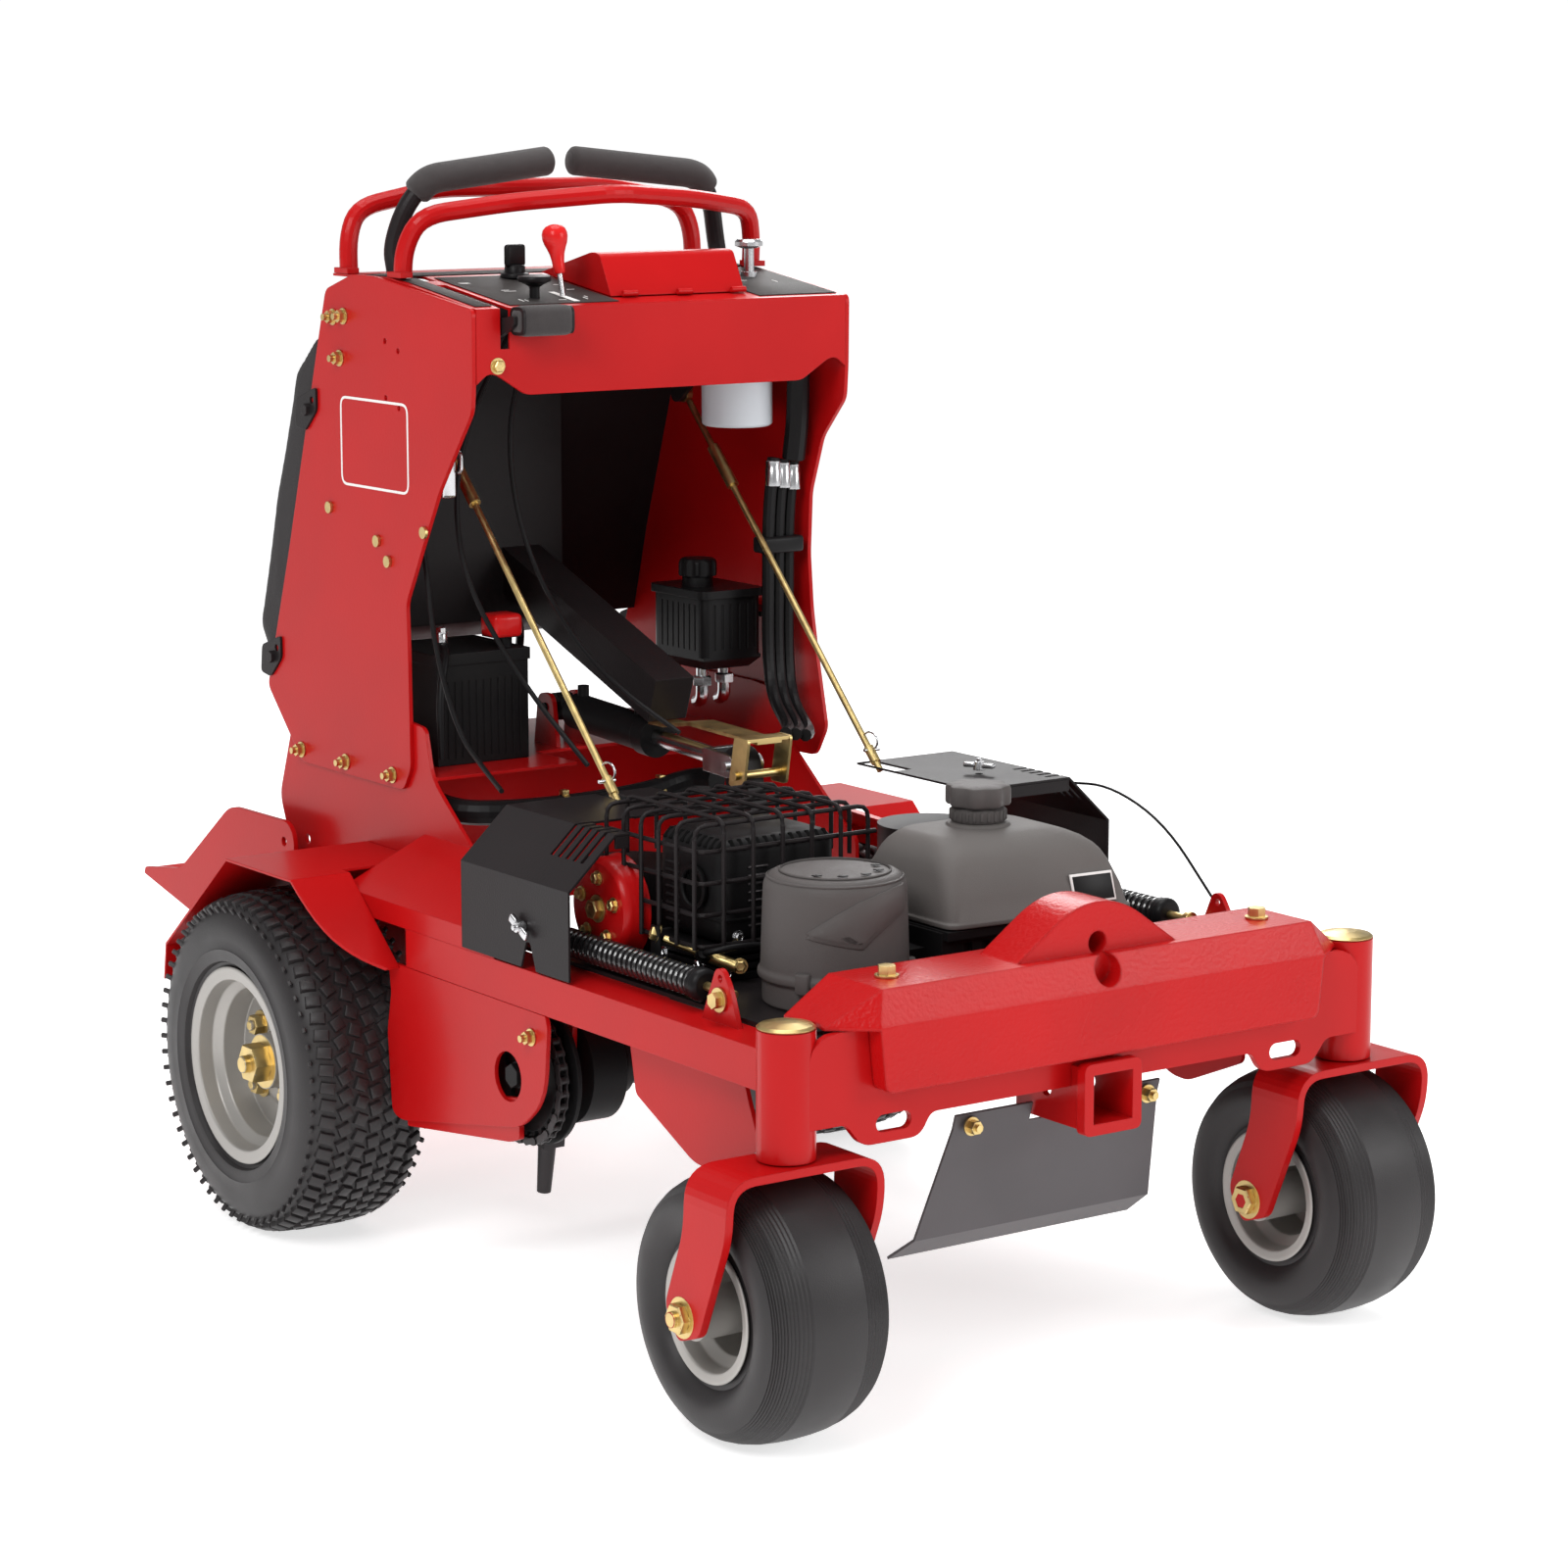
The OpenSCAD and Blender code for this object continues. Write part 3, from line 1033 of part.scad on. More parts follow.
module lift_rod() placed(steel) from_axle() {
    bar(lift_top + 132 * lift_dir, lift_low - 42 * lift_dir, 20);
    // Clevis over the lift arm, with its pin
    translate(lift_low - 46 * lift_dir) translate([-21.4, -6, -13]) cube([42.8, 10, 26]);
    for (x = [-21.4, 14.4]) hull() {
        rod_x(26, x, x + 7, lift_low[1], lift_low[2]);
        translate(lift_low - 46 * lift_dir) translate([x, -6, -13]) cube([7, 10, 26]);
    }
    rod_x(12, -26, 26, lift_low[1], lift_low[2]);
}
module service_latch() placed(zinc) from_axle() {
    // Strap from the support tube forward to a fork with a roller
    side_sheet(strip([[-214, 602], [-245, 602], [-300, 611], [-440, 607]], 4), -17, 34);
    both_sides() side_sheet(soft([[-442, 610], [-414, 611], [-402, 553], [-432, 553]], 5), 27.5, 3.5);
    block(-31, 31, -440, -416, 606, 610);
    rod_x(10, -36, 36, -420, 566);
}

// ---- Springs, hoses and cables ----
module springs() placed(black) both_sides() {
    // Counterbalance spring beside the rail, on its rod
    x = ear_x - 18;
    difference() {
        rod_y(32, x, ear_y + 62, wheelbase - 506, spring_z);
        rod_y(20, x, ear_y + 61, wheelbase - 505, spring_z);
    }
    rod_y(36, x, ear_y + 48, ear_y + 61.7, spring_z);
    rod_y(10, x, ear_y + 8, wheelbase - 498, spring_z);
}
hose_main = [[-232, -40, 512], [-230, -120, 500], [-180, -160, 500], [-90, -170, 500], [10, -170, 504],
    [60, -190, 520], [70, -230, 524]];
hose_far = [[238, -150, 890], [233, -146, 820], [230, -150, 740], [228, -152, 660], [220, -172, 600],
        [200, -240, 572],
    [150, -300, 580]];
cable_a = [[-160, -150, tower_h - 30], [-190, -100, 960], [-206, -90, 860], [-200, -110, 760],
        [-170, -190, 650],
    [-150, -290, 572]];
cable_b = [[-120, -150, tower_h - 30], [-120, -80, 980], [-116, -70, 880], [-96, -84, 780],
        [-76, -150, 690], [-60, -230, 640],
    [-30, -300, 600]];
cable_c = [[-246, -60, 880], [-240, -85, 790], [-236, -90, 700], [-240, -150, 600], [-262, -250, 570],
        [-290, -330, 562]];
lanyard = [[336, -562, 542], [337, -640, 550], [335, -740, 521], [341, -815, 448]];
module hoses_and_cables() placed(black) from_axle() {
    swept(route(hose_main, 50, 6), 15, 12);
    for (i = [0:2]) swept(route(shifted(hose_far, [-i * 16, -i * 2, i * 3]), 60, 6), 7.5, 10, [1, 0.3, 0.1]);
    swept(route([[228, -175, 1000], [234, -165, 940], [234, -156, 894]], 60, 5), 14, 12, [1, 0.3, 0.1]);
    for (p = [cable_a, cable_b, cable_c]) swept(route(p, 90, 8), 3, 8, [1, 0.3, 0.1]);
    swept(route(lanyard, 70, 6), 1.6, 8, [1, 0.3, 0.1]);
}

// ---- Operator's platform ----
module platform_plate() {
    r = platform_reach;
    outline = soft([[160, pivot_z + 6], [176, pivot_z + 26], [328, pivot_z + 24], [r - 105, 345],
            [r - 4, 331], [r, 322],
        [r - 147, 290], [250, 290], [166, 396]], [14, 12, 20, 14, 4, 3, 10, 14, 14], 5);
    difference() {
        side_sheet(outline, platform_w / 2 - 6, 6);
        rod_x(12 + 2 * fit, 0, platform_w, pivot_y, pivot_z);
    }
}
module platform() placed(red) from_axle() {
    r = platform_reach;
    both_sides() platform_plate();
    side_sheet(strip([[252, 320], [256, 290.5], [r - 147, 290.5], [r - 1, 324]],
            5), -platform_w / 2 + 6.01, platform_w - 12.02);
    for (y = [280:40:400]) block(-220, 220, y, y + 10, 295, 300);
}

main_frame();
hitch_receiver();
front_weight();
front_guard();
chassis_sides();
fenders();
engine_deck();
fasteners();
caster_fork_right();
caster_fork_left();
caster_tyre_right();
caster_tyre_left();
caster_rim_right();
caster_rim_left();
drive_tyre_right();
drive_tyre_left();
drive_rim_right();
drive_rim_left();
drive_hub_right();
drive_hub_left();
drive_motors();
tower_sides();
tower_front();
rear_panel();
hand_bars();
thigh_pad();
pad_brackets();
drive_lever_right();
drive_lever_left();
lever_grip_right();
lever_grip_left();
control_rod_right();
control_rod_left();
throttle_lever();
choke_knob();
ignition_key();
head_lever();
console_lid();
depth_knob();
engine_block();
muffler();
muffler_guard();
air_cleaner();
fuel_tank();
fuel_cap();
belt_covers();
battery();
hydraulic_tank();
tank_cap();
oil_filter();
tine_head();
tine_rotor();
tine_drive();
drive_chain();
lift_cylinder();
lift_rod();
platform();
hoses_and_cables();
springs();
service_latch();
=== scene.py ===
import math
import bpy
from mathutils import Matrix, Vector


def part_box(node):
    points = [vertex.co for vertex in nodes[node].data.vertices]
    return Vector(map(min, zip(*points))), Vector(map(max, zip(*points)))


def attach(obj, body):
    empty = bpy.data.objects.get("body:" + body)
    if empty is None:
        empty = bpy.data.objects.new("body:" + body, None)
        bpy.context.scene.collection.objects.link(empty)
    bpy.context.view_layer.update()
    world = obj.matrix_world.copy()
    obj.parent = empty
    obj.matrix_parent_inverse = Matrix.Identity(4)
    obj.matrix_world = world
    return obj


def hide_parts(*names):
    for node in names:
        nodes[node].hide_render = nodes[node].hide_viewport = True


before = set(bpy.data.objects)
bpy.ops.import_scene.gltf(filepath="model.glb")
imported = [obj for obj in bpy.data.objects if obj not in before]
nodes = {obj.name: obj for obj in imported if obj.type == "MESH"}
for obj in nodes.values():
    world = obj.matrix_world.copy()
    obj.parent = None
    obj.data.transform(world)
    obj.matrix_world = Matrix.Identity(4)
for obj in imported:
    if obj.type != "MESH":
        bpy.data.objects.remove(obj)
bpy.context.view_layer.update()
axleY = (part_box("drive_tyre_right")[0].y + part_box("drive_tyre_right")[1].y) / 2  # rear axle, along the machine
swivelY = axleY - 1.0  # caster swivel line


# Finishes: patterns on object coordinates
def srgb(r, g, b):
    return tuple((c / 255 / 12.92 if c <= 10 else ((c / 255 + 0.055) / 1.055) ** 2.4) for c in (r, g, b)) + (1,)


def makeFinish(name, colour, rough=0.4, metal=0.0, coat=0.0, grain=200, bump=0.0, mottle=0.0, mottleSize=8,
               spec=0.14, soften=0.0, sheen=0.0):
    made = bpy.data.materials.new(name)
    made.use_nodes = True
    tree = made.node_tree
    shader = tree.nodes["Principled BSDF"]
    shader.inputs["Base Color"].default_value = colour
    shader.inputs["Roughness"].default_value = rough
    shader.inputs["Metallic"].default_value = metal
    shader.inputs["Coat Weight"].default_value = coat
    shader.inputs["Coat Roughness"].default_value = 0.1
    shader.inputs["Specular IOR Level"].default_value = spec
    if sheen:
        shader.inputs["Sheen Weight"].default_value = sheen
    place = tree.nodes.new("ShaderNodeTexCoord")

    def noise(size, detail):
        cloud = tree.nodes.new("ShaderNodeTexNoise")
        cloud.inputs["Scale"].default_value = size
        cloud.inputs["Detail"].default_value = detail
        tree.links.new(place.outputs["Object"], cloud.inputs["Vector"])
        return cloud.outputs["Fac"]

    if mottle:  # slightly uneven tone, in colour and in roughness
        spread = tree.nodes.new("ShaderNodeMapRange")
        spread.inputs["From Min"].default_value, spread.inputs["From Max"].default_value = 0.3, 0.7
        spread.inputs["To Min"].default_value, spread.inputs["To Max"].default_value = 1 - mottle, 1 + mottle
        tree.links.new(noise(mottleSize, 6), spread.inputs["Value"])
        tint = tree.nodes.new("ShaderNodeVectorMath")
        tint.operation = "SCALE"
        tint.inputs[0].default_value = colour[:3]
        tree.links.new(spread.outputs["Result"], tint.inputs["Scale"])
        tree.links.new(tint.outputs["Vector"], shader.inputs["Base Color"])
        uneven = tree.nodes.new("ShaderNodeMath")
        uneven.operation = "MULTIPLY"
        uneven.inputs[1].default_value = rough
        tree.links.new(spread.outputs["Result"], uneven.inputs[0])
        tree.links.new(uneven.outputs["Value"], shader.inputs["Roughness"])
    surface = None
    if soften:  # rounds the look of folded and cut edges
        rounded = tree.nodes.new("ShaderNodeBevel")
        rounded.samples = 4
        rounded.inputs["Radius"].default_value = soften
        surface = rounded.outputs["Normal"]
    if bump:
        lift = tree.nodes.new("ShaderNodeBump")
        lift.inputs["Strength"].default_value = bump
        lift.inputs["Distance"].default_value = 0.001
        tree.links.new(noise(grain, 3), lift.inputs["Height"])
        if surface:
            tree.links.new(surface, lift.inputs["Normal"])
        surface = lift.outputs["Normal"]
    if surface:
        tree.links.new(surface, shader.inputs["Normal"])
    return made


redPaint = makeFinish("redPaint", srgb(178, 14, 16), 0.3, coat=0.07, grain=240, bump=0.1, mottle=0.05, soften=0.0016)
castRed = makeFinish("castRed", srgb(180, 14, 16), 0.28, coat=0.1, grain=210, bump=0.7, mottle=0.06, soften=0.005)
blackPaint = makeFinish("blackPaint", srgb(34, 30, 31), 0.36, grain=420, bump=0.18, mottle=0.1, soften=0.0012)
satinBlack = makeFinish("satinBlack", srgb(22, 21, 22), 0.48, grain=600, bump=0.15, mottle=0.1, soften=0.0018)
plateBlack = makeFinish("plateBlack", srgb(56, 53, 52), 0.6, grain=900, bump=0.25, mottle=0.06)
tankPlastic = makeFinish("tankPlastic", srgb(98, 94, 92), 0.5, grain=1100, bump=0.35, mottle=0.05, soften=0.003)
canPlastic = makeFinish("canPlastic", srgb(84, 80, 79), 0.46, grain=1100, bump=0.35, mottle=0.05, soften=0.002)
rubber = makeFinish("rubber", srgb(38, 35, 36), 0.46, grain=700, bump=0.2, mottle=0.12, mottleSize=20, spec=0.4)
foamBlack = makeFinish("foamBlack", srgb(62, 58, 58), 0.92, grain=1700, bump=0.7, mottle=0.1, mottleSize=90,
                       sheen=0.2)
vinyl = makeFinish("vinyl", srgb(48, 45, 46), 0.5, grain=800, bump=0.5, mottle=0.05)
rimGrey = makeFinish("rimGrey", srgb(168, 165, 161), 0.42, metal=0.5, grain=300, bump=0.06, mottle=0.06, soften=0.001)
gold = makeFinish("gold", srgb(206, 182, 124), 0.34, metal=1.0, mottle=0.14, mottleSize=60, soften=0.0008)
brightSteel = makeFinish("brightSteel", srgb(200, 200, 202), 0.24, metal=1.0, mottle=0.1, mottleSize=40,
                         soften=0.0008)
darkSteel = makeFinish("darkSteel", srgb(64, 61, 62), 0.42, metal=0.7, grain=300, bump=0.15, mottle=0.16,
                       soften=0.0008)
guardGrey = makeFinish("guardGrey", srgb(92, 89, 91), 0.45, metal=0.35, grain=400, bump=0.1, mottle=0.08,
                       soften=0.0015)
filterWhite = makeFinish("filterWhite", srgb(214, 220, 226), 0.3, coat=0.3, mottle=0.03, soften=0.002)
blackPlastic = makeFinish("blackPlastic", srgb(24, 23, 24), 0.36, grain=900, bump=0.1, mottle=0.05, soften=0.0015)
redPlastic = makeFinish("redPlastic", srgb(208, 26, 26), 0.3, coat=0.2, grain=500, bump=0.06, mottle=0.04)
cableJacket = makeFinish("cableJacket", srgb(22, 21, 22), 0.42, grain=800, bump=0.1, mottle=0.06)
whiteInk = makeFinish("whiteInk", srgb(232, 230, 228), 0.5, mottle=0.02)
springBlack = makeFinish("springBlack", srgb(34, 33, 34), 0.22, coat=0.6, mottle=0.08, mottleSize=60, spec=0.6)


def coat(nodeNames, material):
    for n in nodeNames.split():
        for i in range(len(nodes[n].data.materials)):
            nodes[n].data.materials[i] = material


coat("main_frame hitch_receiver chassis_sides fenders tower_sides tower_front hand_bars platform "
     "caster_fork_right caster_fork_left console_lid throttle_lever", redPaint)
coat("front_weight", castRed)
coat("engine_deck rear_panel pad_brackets drive_lever_right drive_lever_left belt_covers drive_motors "
     "muffler_guard tine_head head_lever", blackPaint)
coat("battery tank_cap choke_knob ignition_key hydraulic_tank fuel_cap", blackPlastic)
coat("muffler engine_block tine_drive lift_cylinder", satinBlack)
coat("fuel_tank", tankPlastic)
coat("air_cleaner", canPlastic)
coat("caster_tyre_right caster_tyre_left drive_tyre_right drive_tyre_left", rubber)
coat("lever_grip_right lever_grip_left", foamBlack)
coat("thigh_pad", vinyl)
coat("caster_rim_right caster_rim_left drive_rim_right drive_rim_left drive_hub_right drive_hub_left", rimGrey)
coat("fasteners control_rod_right control_rod_left service_latch", gold)
coat("depth_knob lift_rod", brightSteel)
coat("tine_rotor drive_chain", darkSteel)
coat("front_guard", guardGrey)
coat("oil_filter", filterWhite)
coat("hoses_and_cables springs", cableJacket)
print("finishes", len(bpy.data.materials))

# Camera, floor and light
cameraSet = {"place": (-2.6329, swivelY - 3.2049, 1.3663), "turn": -35.17, "tilt": 9.995, "lens": 93.91}
camera = bpy.data.objects.new("camera", bpy.data.cameras.new("camera"))
bpy.context.scene.collection.objects.link(camera)
camera.data.sensor_width = 36
camera.data.lens = cameraSet["lens"]
camera.data.clip_end = 60
camera.location = cameraSet["place"]
turn, tilt = math.radians(cameraSet["turn"]), math.radians(cameraSet["tilt"])
ahead = Vector((-math.sin(turn) * math.cos(tilt), math.cos(turn) * math.cos(tilt), -math.sin(tilt)))
camera.rotation_mode = "QUATERNION"
camera.rotation_quaternion = ahead.to_track_quat("-Z", "Y")
bpy.context.scene.camera = camera

bpy.ops.mesh.primitive_plane_add(size=60, location=(0, 0, 0))
floor = bpy.context.object
floor.name = "floor"
floorWhite = makeFinish("floorWhite", (0.8, 0.8, 0.8, 1), 0.8, spec=0.05)
floorWhite.node_tree.nodes["Principled BSDF"].inputs["Emission Color"].default_value = (1, 1, 1, 1)
floorWhite.node_tree.nodes["Principled BSDF"].inputs["Emission Strength"].default_value = 0.68
floor.data.materials.append(floorWhite)


def softbox(name, place, size, power):
    lamp = bpy.data.objects.new(name, bpy.data.lights.new(name, "AREA"))
    bpy.context.scene.collection.objects.link(lamp)
    lamp.data.shape = "RECTANGLE"
    lamp.data.size, lamp.data.size_y = size
    lamp.data.energy = power
    lamp.location = place
    lamp.rotation_mode = "QUATERNION"
    lamp.rotation_quaternion = (Vector((0, 0, 0.5)) - Vector(place)).to_track_quat("-Z", "Y")


softbox("keyLight", (-3.4, -2.2, 3.6), (2.0, 2.0), 110)
softbox("fillLight", (2.6, -3.6, 2.2), (2.0, 1.8), 60)
softbox("topLight", (0.2, 0.3, 4.2), (2.6, 2.6), 95)
softbox("backLight", (2.6, 3.0, 2.8), (1.8, 1.8), 60)
room = {"white": 1.05, "onObject": 0.42}  # the room is seen white, and lights the machine softly
world = bpy.data.worlds.new("studio")
world.use_nodes = True
sky = world.node_tree.nodes["Background"]
sky.inputs["Color"].default_value = (1, 1, 1, 1)
seen = world.node_tree.nodes.new("ShaderNodeLightPath")
level = world.node_tree.nodes.new("ShaderNodeMapRange")
level.inputs["To Min"].default_value, level.inputs["To Max"].default_value = room["onObject"], room["white"]
world.node_tree.links.new(seen.outputs["Is Camera Ray"], level.inputs["Value"])
world.node_tree.links.new(level.outputs["Result"], sky.inputs["Strength"])
bpy.context.scene.world = world
bpy.context.scene.view_settings.view_transform = "Standard"


# Modelling helpers
def only(obj=None):
    if bpy.context.object and bpy.context.object.mode != "OBJECT":
        bpy.ops.object.mode_set(mode="OBJECT")
    bpy.ops.object.select_all(action="DESELECT")
    if obj:
        obj.select_set(True)
        bpy.context.view_layer.objects.active = obj


def edit():
    bpy.ops.object.mode_set(mode="EDIT")
    bpy.ops.mesh.select_all(action="SELECT")


def back():
    bpy.ops.object.mode_set(mode="OBJECT")
    return bpy.context.object


def drawLine(points, filled=False):  # a point, drawn on from place to place
    only()
    bpy.ops.mesh.primitive_plane_add(size=0.001, location=points[0])
    edit()
    bpy.ops.mesh.merge(type="CENTER")
    for a, b in zip(points, points[1:]):
        bpy.ops.mesh.extrude_region_move(TRANSFORM_OT_translate={"value": Vector(b) - Vector(a)})
    bpy.ops.mesh.select_all(action="SELECT")
    if filled:
        bpy.ops.mesh.edge_face_add()
    made = back()
    bpy.ops.object.transform_apply(location=True, rotation=True, scale=True)
    return made


def plate(points, depth, edge=0.0):  # a filled outline pushed out by depth
    made = drawLine(points, filled=True)
    edit()
    bpy.ops.mesh.extrude_region_move(TRANSFORM_OT_translate={"value": depth})
    back()
    if edge:
        addBevel(made, edge)
    return made


def addBevel(obj, width, segments=2, angle=35):
    bevel = obj.modifiers.new("edges", "BEVEL")
    bevel.width, bevel.segments, bevel.limit_method = width, segments, "ANGLE"
    bevel.angle_limit = math.radians(angle)
    return obj


def brick(place, size, edge=0.002, turned=(0, 0, 0), segments=2):
    only()
    bpy.ops.mesh.primitive_cube_add(size=1, location=place, rotation=turned)
    made = bpy.context.object
    made.scale = size
    bpy.ops.object.transform_apply(location=True, rotation=True, scale=True)
    return addBevel(made, edge, segments)


def turning(profile, place, axis="X", steps=48):  # profile pairs (radius, along) turned about an axis through place
    along = {"X": lambda r, d: (d, 0, r), "Y": lambda r, d: (0, d, r), "Z": lambda r, d: (r, 0, d)}[axis]
    made = drawLine([along(r, d) for r, d in profile])
    spun = made.modifiers.new("turned", "SCREW")
    spun.axis, spun.steps, spun.render_steps, spun.use_merge_vertices = axis, steps, steps, True
    spun.merge_threshold = 0.00001
    only(made)
    bpy.ops.object.modifier_apply(modifier="turned")
    made.location = place
    bpy.ops.object.transform_apply(location=True, rotation=True, scale=True)
    return made


def rod(radius, start, end, place, axis="Z", steps=24):  # a plain round bar along an axis
    return turning([(0.0001, start), (radius, start), (radius, end), (0.0001, end)], place, axis, steps)


def cornerArc(start, corner, end, steps):  # a curve that cuts a corner
    return [(1 - t) ** 2 * start + 2 * t * (1 - t) * corner + t * t * end
            for t in (i / steps for i in range(steps + 1))]


def roundLoop(corners, radius, steps=6):  # a closed outline with its corners rounded
    out = []
    for i, c in enumerate(corners):
        before, after = corners[i - 1], corners[(i + 1) % len(corners)]
        out += cornerArc(c + (before - c).normalized() * radius, c, c + (after - c).normalized() * radius, steps)
    return out


def roundPath(points, radius, steps=6):  # an open line with its corners rounded
    out = [Vector(points[0])]
    for a, b, c in zip(points, points[1:], points[2:]):
        a, b, c = Vector(a), Vector(b), Vector(c)
        p = b + (a - b).normalized() * min(radius, (a - b).length * 0.49)
        q = b + (c - b).normalized() * min(radius, (c - b).length * 0.49)
        out += cornerArc(p, b, q, steps)
    return out + [Vector(points[-1])]


def tube(points, radius, sides=3, ends=1.0, closed=False):  # a round bar along a path, its ends drawn in
    made = drawLine(points)
    only(made)
    bpy.ops.object.convert(target="CURVE")
    curve = bpy.context.object
    curve.data.dimensions = "3D"
    curve.data.bevel_depth, curve.data.bevel_resolution, curve.data.use_fill_caps = radius, sides, True
    spline = curve.data.splines[0]
    spline.use_cyclic_u = closed
    spline.points[0].radius = spline.points[-1].radius = ends
    bpy.ops.object.convert(target="MESH")
    return bpy.context.object


def joined(pieces):
    for o in pieces:
        applyAll(o)
    only(pieces[0])
    for o in pieces:
        o.select_set(True)
    if len(pieces) > 1:
        bpy.ops.object.join()
    return bpy.context.object


def applyAll(obj):
    only(obj)
    for m in list(obj.modifiers):
        bpy.ops.object.modifier_apply(modifier=m.name)


def copied(obj):  # a copy with its own mesh
    twin = obj.copy()
    twin.data = obj.data.copy()
    bpy.context.scene.collection.objects.link(twin)
    return twin


def ringOf(obj, step, count):  # repeats a piece round the machine's cross axis
    turner = bpy.data.objects.new("turner", None)
    bpy.context.scene.collection.objects.link(turner)
    turner.rotation_euler = (math.radians(step), 0, 0)
    ring = obj.modifiers.new("ring", "ARRAY")
    ring.count, ring.use_relative_offset, ring.use_object_offset = count, False, True
    ring.offset_object = turner
    applyAll(obj)
    bpy.data.objects.remove(turner)
    return obj


def done(obj, name, body, material, hides=(), smooth=40, merge=0.00001):
    applyAll(obj)
    bpy.ops.object.transform_apply(location=True, rotation=True, scale=True)
    edit()
    if merge:
        bpy.ops.mesh.remove_doubles(threshold=merge)
    bpy.ops.mesh.normals_make_consistent(inside=False)
    back()
    obj.data.materials.clear()
    obj.data.materials.append(material)
    bpy.ops.object.shade_smooth_by_angle(angle=math.radians(smooth))
    obj.name = name
    obj.data.name = name
    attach(obj, body)
    if hides:
        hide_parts(*hides)
    return obj


sides = (("right", -1), ("left", 1))
print("helpers ready")


def fromAxle(x, y, z):  # millimetres, along the machine from the rear axle
    return (x / 1000, axleY + y / 1000, z / 1000)


def fromFront(x, y, z):  # millimetres, along the machine from the caster swivels
    return (x / 1000, swivelY + y / 1000, z / 1000)


# Tyres
driveTyre = {"blocksAround": 60, "blockHeight": 0.0042, "reach": 0.203, "sunk": 0.0028, "shoulder": (0.0738, 0.1838),
             "carcass": [(0.106, 0.0700), (0.118, 0.0705), (0.1225, 0.0735), (0.1245, 0.0790), (0.130, 0.0805),
                         (0.136, 0.0812), (0.1385, 0.0822), (0.1410, 0.0812), (0.152, 0.0815), (0.164, 0.0805),
                         (0.174, 0.0780), (0.182, 0.0735), (0.1885, 0.0665), (0.1935, 0.0575), (0.1965, 0.0450),
                         (0.1980, 0.0280), (0.1986, 0.0100)]}
# rows of turf blocks: across, length round the tyre, width, slant in degrees, tilt to the shoulder, half-step offset
treadRows = [(0.0, 0.0172, 0.0165, 14, 0, 0.0), (0.0192, 0.0165, 0.0165, 24, 0, 0.5),
             (0.0390, 0.0165, 0.0170, -24, 3, 0.0), (0.0590, 0.0150, 0.0190, 12, 22, 0.5)]


def wheelPlace(node):
    low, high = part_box(node)
    return (low + high) / 2


def makeTreadRow(across, length, width, slant, lean, offset, step, count):
    outwards = 0.0052 if abs(lean) > 10 else 0.0012 if lean else 0  # the rows drop towards the shoulder
    radius = driveTyre["reach"] - driveTyre["blockHeight"] / 2 - driveTyre["sunk"] - outwards
    only()
    bpy.ops.mesh.primitive_cube_add(size=1, location=(0, 0, 0))
    block = bpy.context.object
    block.scale = (width, length, driveTyre["blockHeight"] + 0.004)
    bpy.ops.object.transform_apply(location=True, rotation=True, scale=True)
    edit()
    bpy.ops.mesh.select_all(action="DESELECT")
    back()
    for f in block.data.polygons:
        f.select = f.normal.z > 0.9
    bpy.ops.object.mode_set(mode="EDIT")
    bpy.ops.transform.resize(value=(0.86, 0.8, 1))
    bpy.ops.mesh.inset(thickness=0.0012)
    bpy.ops.transform.translate(value=(0, 0, 0.0007))
    back()
    block.rotation_euler = (0, math.radians(lean), math.radians(slant))
    block.location = (across, 0, radius)
    bpy.ops.object.transform_apply(location=True, rotation=True, scale=True)
    block.rotation_euler = (math.radians(step * offset), 0, 0)
    bpy.ops.object.transform_apply(location=True, rotation=True, scale=True)
    return ringOf(block, step, count)


def makeDriveTyre():
    half = driveTyre["carcass"]
    profile = half + [(r, -x) for r, x in reversed(half)]
    inside = [(0.106, -0.060), (0.118, -0.060), (0.134, -0.072), (0.165, -0.070), (0.184, -0.050), (0.185, 0.050),
              (0.165, 0.070), (0.134, 0.072), (0.118, 0.060), (0.106, 0.060), half[0]]
    parts = [turning(profile + inside, (0, 0, 0), "X", 96)]
    step = 360 / driveTyre["blocksAround"]
    for across, length, width, slant, lean, offset in treadRows:
        for side in ((1,) if across == 0 else (1, -1)):
            parts.append(makeTreadRow(side * across, length, width, side * slant, side * lean, offset, step,
                                      driveTyre["blocksAround"]))
    for side in (1, -1):  # short bars down the shoulder
        middle = (side * driveTyre["shoulder"][0], 0, driveTyre["shoulder"][1])
        bar = brick(middle, (0.0042, 0.0058, 0.0135), 0.001, segments=1)
        applyAll(bar)
        edit()
        bpy.ops.transform.rotate(value=math.radians(-side * 33), orient_axis="Y", center_override=middle)
        back()
        parts.append(ringOf(bar, step, driveTyre["blocksAround"]))
    return joined(parts)


firstDrive = makeDriveTyre()
for name, side in sides:
    tyre = copied(firstDrive)
    tyre.location = wheelPlace("drive_tyre_" + name)
    only(tyre)
    done(tyre, "turfTyre_" + name, "drive_wheel_" + name, rubber, ("drive_tyre_" + name,), 32, 0)
bpy.data.objects.remove(firstDrive)
print("drive tyres")

casterTyre = {"ribs": 5, "ribDepth": 0.0011,
              "outline": [(0.065, 0.0620), (0.079, 0.0620), (0.083, 0.0665), (0.090, 0.0720), (0.098, 0.0745),
                          (0.106, 0.0752), (0.114, 0.0738), (0.121, 0.0705), (0.127, 0.0650), (0.132, 0.0570),
                          (0.136, 0.0460), (0.139, 0.0320), (0.1405, 0.0160), (0.1410, 0.0)]}


